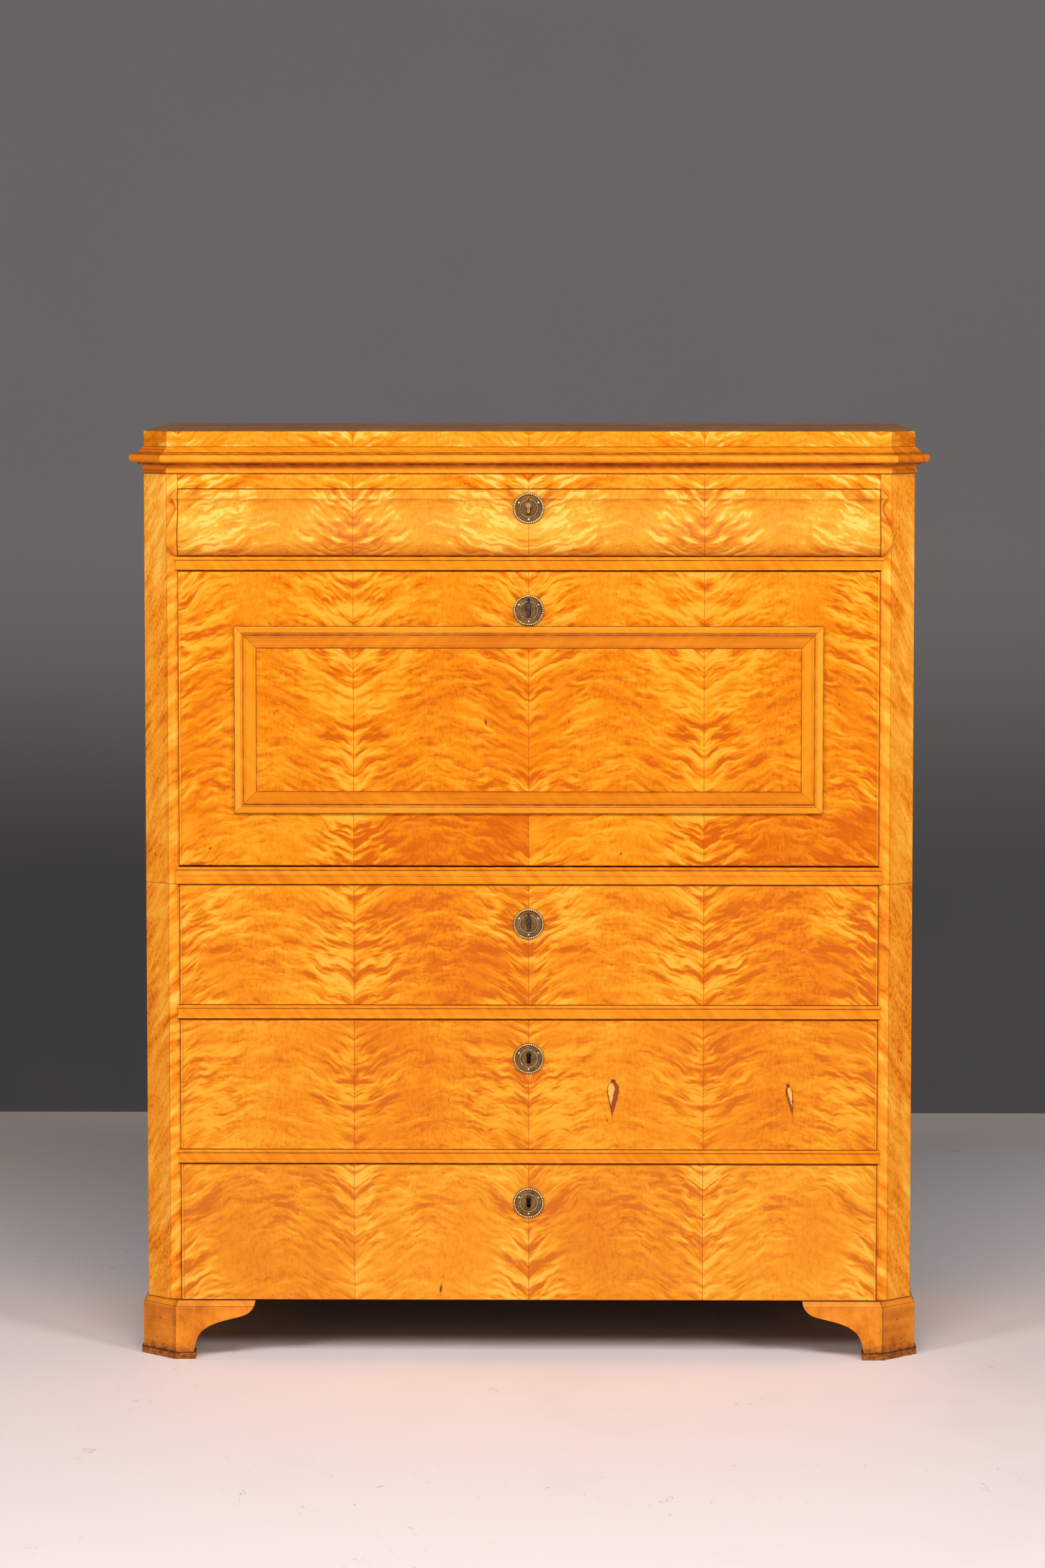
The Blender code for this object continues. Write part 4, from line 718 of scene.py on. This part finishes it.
def pine_finish(name, sample, along, boards=None, board_axis=None, nailed=None, age=1.0):
    """Planed pine, greyed and browned by age: growth rings along the boards and joints between them."""
    f = Finish(name)
    w, (x, _, z) = f.w, f.place
    run = f.along(along)
    others = [f.along(axis) for axis in "XYZ" if axis != along]
    cross = others[0] + others[1] * 0.83
    number, gap = 0.0, None
    if boards:
        place = (f.along(board_axis) + 5.0) / boards
        number = w.math("FLOOR", place) * 3.7
        part = w.math("FRACT", place) * boards
        gap = w.fade(w.math("MINIMUM", part, boards - part), 0.0004, 0.0016)
    wobble = w.noise(((run, 1.6), (cross, 7.0), number + sample), 2.0, 0.5)
    rings = w.math("SINE", (cross + w.swing(wobble, 0.11)) * 520.0)
    fibre = w.noise(((run, 11.0), (cross, 900.0), sample), 2.0, 0.6)
    cloud = w.noise(((run, 2.5), (cross, 5.0), number + (sample + 7.0)), 3.0, 0.6)
    figure = 0.5 + rings * 0.13 + w.swing(fibre, 0.35) + w.swing(cloud, 0.9)
    tone = shade(f.veneer.pine, age)
    f.colour = w.ramp(figure, [(place, shade(tone, share)) for place, share in PINE_SHADES])
    height = rings * 0.3 + fibre * 0.7
    if boards:
        f.tint(gap, BOARD_GAP, 0.9)
        height -= gap * 3.0
    if nailed:
        heads = nail_rows(w, x, z, *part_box(nailed))
        f.tint(heads, NAIL, 0.9)
        height -= heads
    return f.polish(w.between(cloud, 0.3, 0.7, 0.55, 0.72), height, 0.3)


def metal_finish(name, base, dirt, amount, rough, hollow=None):
    """Old metal: rubbed where it stands up, and brown in the hollows. Hollow gives the depth from 0 to 1."""
    f = Finish(name)
    w = f.w
    grime = f.noise(380.0, 4.0, 0.68)
    patches = f.noise(90.0)
    worn = w.between(grime * 0.55 + patches * 0.45, 0.5 - amount * 0.2, 0.62)
    if hollow:
        worn = w.math("MULTIPLY", worn, hollow(w, *f.place), clamp=True)
    f.colour = w.mix(worn, dirt, base)
    f.material.node_tree.nodes["Principled BSDF"].inputs["Metallic"].default_value = 1.0
    return f.polish(w.between(grime, 0.35, 0.65, rough[1], rough[0]), grime, 0.25, 0.0003)


def placed(name, data):
    """A new object in the scene."""
    made = bpy.data.objects.new(name, data)
    bpy.context.scene.collection.objects.link(made)
    return made


def geometry_tree(name, inputs):
    """A Geometry Nodes tree with these inputs: its wiring, and its inputs' sockets by name."""
    tree = bpy.data.node_groups.new(name, "GeometryNodeTree")
    for label, kind in inputs.items():
        tree.interface.new_socket(name=label, in_out="INPUT", socket_type=f"NodeSocket{kind}")
    tree.interface.new_socket(name="Geometry", in_out="OUTPUT", socket_type="NodeSocketGeometry")
    w = Wiring(tree)
    return w, {given.socket.name: given for given in w.all("NodeGroupInput")}


def grown(name, tree, values):
    """Runs a Geometry Nodes tree with these inputs and returns the plain mesh that it makes."""
    holder = placed(name, bpy.data.meshes.new(name))
    modifier = holder.modifiers.new("grow", "NODES")
    modifier.node_group = tree
    keys = {item.name: item.identifier for item in tree.interface.items_tree if item.in_out == "INPUT"}
    for key, value in values.items():
        modifier[keys[key]] = value
    graph = bpy.context.evaluated_depsgraph_get()
    mesh = bpy.data.meshes.new_from_object(holder.evaluated_get(graph))
    bpy.data.objects.remove(holder)
    return placed(name, mesh)


def plate_trim_tree():
    """Two rings of beads and three pin heads, standing on a keyhole plate that faces the front."""
    inputs = {name: "Int" if name in BEAD_COUNTS else "Float" for name in BEAD_SIZES}
    w, given = geometry_tree("keyhole plate trim", {"Centre": "Vector", **inputs, "Brass": "Material"})
    join = w.put("GeometryNodeJoinGeometry")

    def ring(count, radius, bead, flat, sink, turn=0.0):
        circle = w.geo("MeshCircle", Vertices=count, Radius=radius)
        ball = w.geo("MeshUVSphere", Segments=8, Rings=5, Radius=bead)
        pressed = w.geo("Transform", Geometry=ball, Scale=(1.0, 1.0, flat))
        spread = w.geo("InstanceOnPoints", Points=circle, Instance=pressed)
        place, turned = (0.0, sink, 0.0), (math.pi / 2, turn, 0.0)
        w.feed(join.inputs[0], w.geo("Transform", Geometry=spread, Translation=place, Rotation=turned))

    ring(given["Outer beads"], given["Outer ring"], given["Outer bead"], 0.9, 0.0)
    ring(given["Inner beads"], given["Inner ring"], given["Inner bead"], 0.9, 0.0005)
    ring(3, given["Pin ring"], given["Pin head"], 0.6, 0.0012, math.pi / 2)
    moved = w.geo("Transform", Geometry=join.outputs[0], Translation=given["Centre"])
    smooth = w.geo("SetShadeSmooth", Geometry=w.geo("RealizeInstances", Geometry=moved))
    w.put("NodeGroupOutput", {0: w.geo("SetMaterial", Geometry=smooth, Material=given["Brass"])})
    return w.tree


def lock_screw_tree():
    """Four round screw heads with slots, at the corners of a lock plate that faces the back."""
    inputs = {"Centre": "Vector", "Apart": "Float", "Rows": "Float", "Head": "Float"}
    w, given = geometry_tree("lock screws", {**inputs, "Iron": "Material", "Slot": "Material"})
    grid = w.geo("MeshGrid", Size_X=given["Apart"], Size_Y=given["Rows"], Vertices_X=2, Vertices_Y=2)
    join = w.put("GeometryNodeJoinGeometry")
    ball = w.geo("MeshUVSphere", Segments=14, Rings=8, Radius=given["Head"])
    head = w.geo("SetShadeSmooth", Geometry=w.geo("Transform", Geometry=ball, Scale=(1.0, 1.0, 0.32)))
    slot = w.geo("MeshCube", Size=w.vector((given["Head"], 1.7), 0.0005, (given["Head"], 0.665)))
    for piece, paint in ((head, "Iron"), (slot, "Slot")):
        w.feed(join.inputs[0], w.geo("SetMaterial", Geometry=piece, Material=given[paint]))
    turns = w.put("FunctionNodeRandomValue", {"Seed": 7}, data_type="FLOAT")
    floats = [socket for socket in turns.inputs if socket.type == "VALUE" and socket.enabled]
    floats[0].default_value, floats[1].default_value = 0.0, math.pi
    turn = w.vector(0.0, 0.0, next(socket for socket in turns.outputs if socket.enabled))
    screws = w.geo("InstanceOnPoints", Points=grid, Instance=join.outputs[0], Rotation=turn)
    upright = (math.pi / 2, 0.0, 0.0)
    stand = w.geo("Transform", Geometry=screws, Rotation=upright, Translation=given["Centre"])
    w.put("NodeGroupOutput", {0: w.geo("RealizeInstances", Geometry=stand)})
    return w.tree


class SECRETAIRE_OT_veneer_fronts(bpy.types.Operator):
    """Lays the book matched flame veneer on the drawer fronts, the flap, the frieze and the top"""

    bl_idname = "secretaire.veneer_fronts"
    bl_label = "Veneer the fronts"

    def execute(self, context):
        def below_frame(f, figure, odd):
            """Darker leaves under the flap's frame, and paler wood near its top."""
            w, outside, z = f.w, f.outside(), f.place[2]
            low = outside * w.fade(z, 0.787, 0.796)
            figure -= low * (0.05 + odd * 0.17)
            return figure + outside * w.between(z, 1.07, 1.08, 0.0, 0.07)

        def shade_under_belly(f, figure, odd):
            """Painted shade, darker where the ogee turns under."""
            return figure - f.w.between(f.place[2], 1.163, 1.178, 0.3, 0.0)

        def up_ogee(w, x, y, z):
            return z - y * 0.4

        def over_edge(w, x, y, z):
            return z + y

        fronts = {
            "drawer_4_front": (3.1, 0.1, None, 0.02, 0.1),
            "drawer_3_front": (7.4, -0.07, None, -0.03, 0.05),
            "drawer_2_front": (11.9, -0.11, None, 0.0, 0.03),
            "fall_panel": (15.3, -0.02, below_frame, -0.02, 0.0),
            "frieze_rail": (21.7, 0.0, None, 0.13, 0.0),
        }
        for node, (sample, tone, extra, lift, haze) in fronts.items():
            f = veneer_finish(f"{node}_veneer", sample, "X", "Z", tone, extra=extra, lift=lift, haze=haze)
            wear_and_shade_edges(f, node, 0.0 if node == "frieze_rail" else LIPPING)
            scar(f, KNOTS.get(node, ()), CHIPS.get(node, ()))
            dress(node, end_veneer(f))

        looks = {"arch": 0.03, "extra": shade_under_belly, "lift": 0.19, "haze": 0.12}
        f = veneer_finish("top_drawer_veneer", 25.2, "X", up_ogee, 0.0, **looks)
        wear_and_shade_edges(f, "top_drawer_front")
        dress("top_drawer_front", end_veneer(f, shine=0.1, dull=0.14, rounding=0.007))
        f = veneer_finish("top_board_veneer", 33.1, "X", over_edge, 0.03, lift=0.12)
        darken_top(f)
        dress("top_board", end_veneer(f))
        return {"FINISHED"}


class SECRETAIRE_OT_veneer_case(bpy.types.Operator):
    """Veneers the posts and the sides of both cases"""

    bl_idname = "secretaire.veneer_case"
    bl_label = "Veneer the case"

    def execute(self, context):
        for i, (side, sign, bleached) in enumerate((("left", -1.0, 0.24), ("right", 1.0, 0.07))):

            def round_corner(w, x, y, z, sign=sign):
                return x * sign + y

            for case in ("lower", "upper"):
                sample = 41.0 + 7.3 * i + (3.1 if case == "upper" else 0.0)
                f = curl_finish(f"{case}_post_{side}_veneer", sample, round_corner, bleached)
                dress(f"{case}_post_{side}", end_veneer(f, shine=0.08, dull=0.1, rounding=0.003))
                node = f"{case}_side_{side}"
                f = veneer_finish(f"{node}_veneer", sample + 20, "Y", "Z", 0.04, leaf=0.2305, lift=0.02)
                dress(node, end_veneer(f))
        return {"FINISHED"}


class SECRETAIRE_OT_finish_mouldings(bpy.types.Operator):
    """Polishes the cornice, the rails, the flap's raised frame and the feet"""

    bl_idname = "secretaire.finish_mouldings"
    bl_label = "Finish the mouldings"

    def execute(self, context):

        def quirks(top, tall, marks):
            return [(top - tall * share, half) for share, half in marks]

        low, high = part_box("cornice_moulding")
        looks = {"quirks": quirks(high.z, high.z - low.z, CORNICE_QUIRKS), "tone": 1.1, "mitred": True}
        dress("cornice_moulding", moulding_finish("cornice_finish", 2.0, layout=cornice_light_layout, **looks))
        for i, (node, rail) in enumerate(RAILS.items()):
            dress(node, moulding_finish(f"{node}_finish", 5.0 + 3.0 * i, quirks=quirks(*rail), tone=1.08))
        made = moulding_finish("flap_frame_finish", 19.0, curl=0.35, layout=flap_frame_layout())
        dress("fall_moulding", made)
        for i, (end, side) in enumerate((e, s) for e in ("front", "back") for s in SIDES):
            dress(f"foot_{end}_{side}", foot_finish(f"foot_{end}_{side}_finish", 23.0 + i))
        return {"FINISHED"}


class SECRETAIRE_OT_finish_inside(bpy.types.Operator):
    """Finishes the pine of the drawers and backs, and the birch behind the flap"""

    bl_idname = "secretaire.finish_inside"
    bl_label = "Finish the inside"

    def execute(self, context):
        for i, drawer in enumerate(DRAWERS):
            dress(f"{drawer}_frame", pine_finish(f"{drawer}_sides_pine", 2.0 + i, "Y"))
            dress(f"{drawer}_bottom", pine_finish(f"{drawer}_bottom_pine", 9.0 + i, "X", 0.16, "Y"))
        for node, sample, boards in (("lower_back", 17.0, 0.151), ("upper_back", 18.0, 0.158)):
            dress(node, pine_finish(f"{node}_pine", sample, "X", boards, "Z", nailed=node))
        dress("bottom_board", pine_finish("bottom_board_pine", 19.0, "X", 0.17, "Y", age=0.35))
        for i, node in enumerate(BIRCH_INSIDE):
            dress(node, moulding_finish(f"{node}_finish", 31.0 + i, curl=0.5))
        for i, side in enumerate(SIDES):
            node = f"small_drawer_{side}"
            dress(node, end_veneer(veneer_finish(f"{node}_veneer", 51.0 + i, "X", "Z", 0.0, leaf=0.1555)))
        return {"FINISHED"}


class SECRETAIRE_OT_finish_metal(bpy.types.Operator):
    """Gives the keyhole plates, keys, locks, bolts and pivots their metal"""

    bl_idname = "secretaire.finish_metal"
    bl_label = "Finish the metal"

    def execute(self, context):
        fittings = context.scene.secretaire_fittings
        iron = metal_finish("old_iron", fittings.iron, shade(fittings.iron, 0.35), 0.6, (0.38, 0.6))
        rubbed = metal_finish("rubbed_brass", (0.86, 0.64, 0.31), (0.45, 0.28, 0.10), 0.9, (0.2, 0.36))
        for holder in HOLDERS:
            low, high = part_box(f"{holder}_escutcheon")

            def raised(w, x, y, z, middle=(low.z + high.z) / 2):
                """Brighter on the rings, darker in the dished field between them."""
                away = w.away(x, z - middle)
                rim = w.line(away - 0.0222, 0.0003)
                rays = w.math("SINE", w.math("ARCTAN2", x, z - middle) * 90.0)
                field = w.between(rays, -0.6, 0.9, 0.35, 0.6)
                gaps = w.most(w.line(away - 0.0205, 0.0016), w.line(away - 0.0126, 0.0009))
                return w.most(rim * 0.6, field * (1.0 - gaps * 0.9))

            # Painted shade: the two lower plates are painted darker, for the less light that falls on them.
            lower_plate_shade = 0.78 if holder in ("drawer_3", "drawer_4") else 1.0
            tones = shade(fittings.brass, lower_plate_shade), shade(fittings.tarnish, lower_plate_shade)
            plate = metal_finish(f"{holder}_plate_brass", *tones, 0.7, (0.3, 0.5), raised)
            dress(f"{holder}_escutcheon", plate)
            dress(f"{holder}_lock", iron)
        for holder in ("top_drawer", "fall", "drawer_2"):
            dress(f"{holder}_bolt", iron)
            dress(f"{holder}_key", rubbed if holder == "top_drawer" else iron)
        for side in SIDES:
            dress(f"fall_pivot_{side}", iron)
        return {"FINISHED"}


class SECRETAIRE_OT_trim_plates(bpy.types.Operator):
    """Sets the two rings of beads and the three brass pins on each keyhole plate"""

    bl_idname = "secretaire.trim_plates"
    bl_label = "Trim the keyhole plates"

    def execute(self, context):
        fittings = context.scene.secretaire_fittings
        tree = plate_trim_tree()
        brass = metal_finish("bead_brass", (0.98, 0.88, 0.66), (0.86, 0.70, 0.42), 0.9, (0.25, 0.4))
        values = {name: getattr(fittings, name.lower().replace(" ", "_")) for name in BEAD_SIZES}
        values["Brass"] = brass
        for holder in HOLDERS:
            low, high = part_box(f"{holder}_escutcheon")
            centre = Vector((0.0, high.y - PLATE_RISE, (low.z + high.z) / 2))
            beads = grown(f"{holder}_plate_beads", tree, {"Centre": centre, **values})
            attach(beads, holder)
        return {"FINISHED"}


class SECRETAIRE_OT_screw_locks(bpy.types.Operator):
    """Fastens each lock's plate with four screws on the inside"""

    bl_idname = "secretaire.screw_locks"
    bl_label = "Screw on the locks"

    def execute(self, context):
        fittings = context.scene.secretaire_fittings
        tree = lock_screw_tree()
        iron = metal_finish("screw_iron", shade(fittings.iron, 1.4), fittings.iron, 0.8, (0.35, 0.5))
        # Painted shade: a near-black strip on each screw head stands in for the shade in its slot.
        dark = metal_finish("screw_slot_shade", (0.03, 0.018, 0.012), (0.012, 0.009, 0.008), 0.5, (0.7, 0.9))
        rows, inset = 0.032, 0.007
        sizes = {"Apart": fittings.screws_apart, "Rows": rows, "Head": fittings.screw_head}
        values = {**sizes, "Iron": iron, "Slot": dark}
        for holder in HOLDERS:
            _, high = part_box(f"{holder}_lock")
            centre = Vector((0.0, high.y + HAIR, high.z - inset - rows / 2))
            screws = grown(f"{holder}_lock_screws", tree, {"Centre": centre, **values})
            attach(screws, holder)
        return {"FINISHED"}


def flat_sheet(name, material, near, far):
    """One four-cornered face between two edges, each with its place in depth and height."""
    mesh = bpy.data.meshes.new(name)
    corners = [(-ROOM_REACH, *near), (ROOM_REACH, *near), (ROOM_REACH, *far), (-ROOM_REACH, *far)]
    mesh.from_pydata(corners, [], [(0, 1, 2, 3)])
    mesh.materials.append(material)
    return placed(name, mesh)


def soft_lamp(name, place, aim, size, power):
    """A large soft box."""
    data = bpy.data.lights.new(name, "AREA")
    data.shape = "RECTANGLE"
    data.size, data.size_y = size
    data.energy = power
    made = placed(name, data)
    made.location = place
    made.rotation_euler = (Vector(aim) - Vector(place)).to_track_quat("-Z", "Y").to_euler()


def seen_rays(w):
    """1 where the backdrop is seen, straight or in a gloss, and 0 where it would light the object."""
    path = w.put("ShaderNodeLightPath").outputs
    return w.most(path["Is Camera Ray"], w.most(path["Is Glossy Ray"], path["Is Transmission Ray"]))


class SECRETAIRE_OT_stage(bpy.types.Operator):
    """Sets up the floor, the wall, the soft lamps and the camera"""

    bl_idname = "secretaire.stage"
    bl_label = "Set up the studio"

    def execute(self, context):
        scene = context.scene
        studio = scene.secretaire_studio

        f = Finish("studio_floor")
        w, (x, y, _) = f.w, f.place
        # Painted light: the floor is painted darker towards the wall and towards the left, as the lamps' light
        # falls off.
        painted_light_falloff = w.between(y + x * -0.5, 0.45, 2.3)
        smears = w.noise(((x, 2.0), (y, 0.9), 0.0), 4.0, 0.6)
        f.colour = w.mix(painted_light_falloff, studio.floor_near, studio.floor_far)
        f.tint(w.between(smears, 0.5, 0.8, 0.0, 0.1), FLOOR_SMEAR)
        area = w.between(w.noise(((x, 3.1), (y, 2.3), 4.0), 2.0), 0.52, 0.62)
        marks = w.noise(((x, 46.0), (y + x * 0.6, 17.0), 8.0), 4.0, 0.75, twist=0.8)
        scuffs = w.between(marks, 0.63, 0.69) * area
        f.tint(scuffs, FLOOR_SCUFF, 0.4)
        f.polish(0.65, smears - scuffs, 0.04, shine=SATIN)
        floor = flat_sheet("studio_floor", f.material, (-ROOM_REACH, 0), (WALL_PLACE, 0))

        f = Finish("studio_wall")
        w, (x, _, z) = f.w, f.place
        # Painted shade: the wall is painted darker below about a metre, and its foot darker to the left.
        foot = w.mix(w.between(x, -1.0, 1.0, smooth=False), studio.wall_low, shade(studio.wall_low, 1.32))
        f.colour = w.mix(w.between(z, 0.40, 1.08), foot, studio.wall_high)
        plaster = w.noise(((x, 1.3), 0.0, (z, 1.3)), 3.0)
        f.tint(w.between(plaster, 0.3, 0.7, 0.0, 0.05), WALL_STAIN)
        glow = w.get("ShaderNodeEmission", {"Color": f.colour, "Strength": seen_rays(w)})
        back = w.put("ShaderNodeNewGeometry").outputs["Backfacing"]
        swap = w.get("ShaderNodeMixShader", {0: back, 1: glow, 2: w.get("ShaderNodeBsdfTransparent")})
        w.feed(w.tree.nodes["Material Output"].inputs["Surface"], swap)
        wall = flat_sheet("studio_wall", f.material, (WALL_PLACE, 0), (WALL_PLACE, ROOM_HEIGHT))
        for name, lamp in LAMPS.items():
            soft_lamp(name, *lamp)

        scene.world = world = bpy.data.worlds.new("studio_air")
        world.use_nodes = True
        w = Wiring(world.node_tree)
        air = world.node_tree.nodes["Background"]
        w.feed(air.inputs["Color"], AIR)
        w.feed(air.inputs["Strength"], 0.13)
        seen = w.get("ShaderNodeBackground", {"Color": studio.wall_high})
        swap = w.get("ShaderNodeMixShader", {0: seen_rays(w), 1: air.outputs[0], 2: seen})
        w.feed(world.node_tree.nodes["World Output"].inputs["Surface"], swap)

        data = bpy.data.cameras.new("studio_camera")
        data.sensor_fit = "VERTICAL"
        data.sensor_height = FILM_HEIGHT
        data.lens = LENS
        data.clip_end = 60.0
        scene.camera = camera = placed("studio_camera", data)
        camera.location = (CAMERA_SIDE, -studio.camera_distance, studio.camera_height)
        camera.rotation_euler = (math.radians(CAMERA_TILT), 0.0, math.radians(CAMERA_TURN))

        scene.view_settings.view_transform = "Standard"
        return {"FINISHED"}


STEPS = (
    SECRETAIRE_OT_veneer_fronts,
    SECRETAIRE_OT_veneer_case,
    SECRETAIRE_OT_finish_mouldings,
    SECRETAIRE_OT_finish_inside,
    SECRETAIRE_OT_finish_metal,
    SECRETAIRE_OT_trim_plates,
    SECRETAIRE_OT_screw_locks,
    SECRETAIRE_OT_stage,
)


class SECRETAIRE_PT_panel(bpy.types.Panel):
    """The secretaire's settings and steps"""

    bl_idname = "SECRETAIRE_PT_panel"
    bl_label = "Secretaire"
    bl_space_type = "VIEW_3D"
    bl_region_type = "UI"
    bl_category = "Secretaire"

    def draw(self, context):
        for group, kind in GROUPS.items():
            box = self.layout.box()
            for name in kind.__annotations__:
                box.prop(getattr(context.scene, group), name)
        for step in STEPS:
            self.layout.operator(step.bl_idname)


GROUPS = {
    "secretaire_veneer": VeneerSettings,
    "secretaire_fittings": FittingSettings,
    "secretaire_studio": StudioSettings,
}


def register():
    for made in (*GROUPS.values(), *STEPS, SECRETAIRE_PT_panel):
        bpy.utils.register_class(made)
    for name, group in GROUPS.items():
        setattr(bpy.types.Scene, name, bpy.props.PointerProperty(type=group))


def unregister():
    for name in GROUPS:
        delattr(bpy.types.Scene, name)
    for made in reversed((*GROUPS.values(), *STEPS, SECRETAIRE_PT_panel)):
        bpy.utils.unregister_class(made)


def main():
    register()
    for step in STEPS:
        area, name = step.bl_idname.split(".")
        getattr(getattr(bpy.ops, area), name)()


if __name__ == "__main__":
    main()
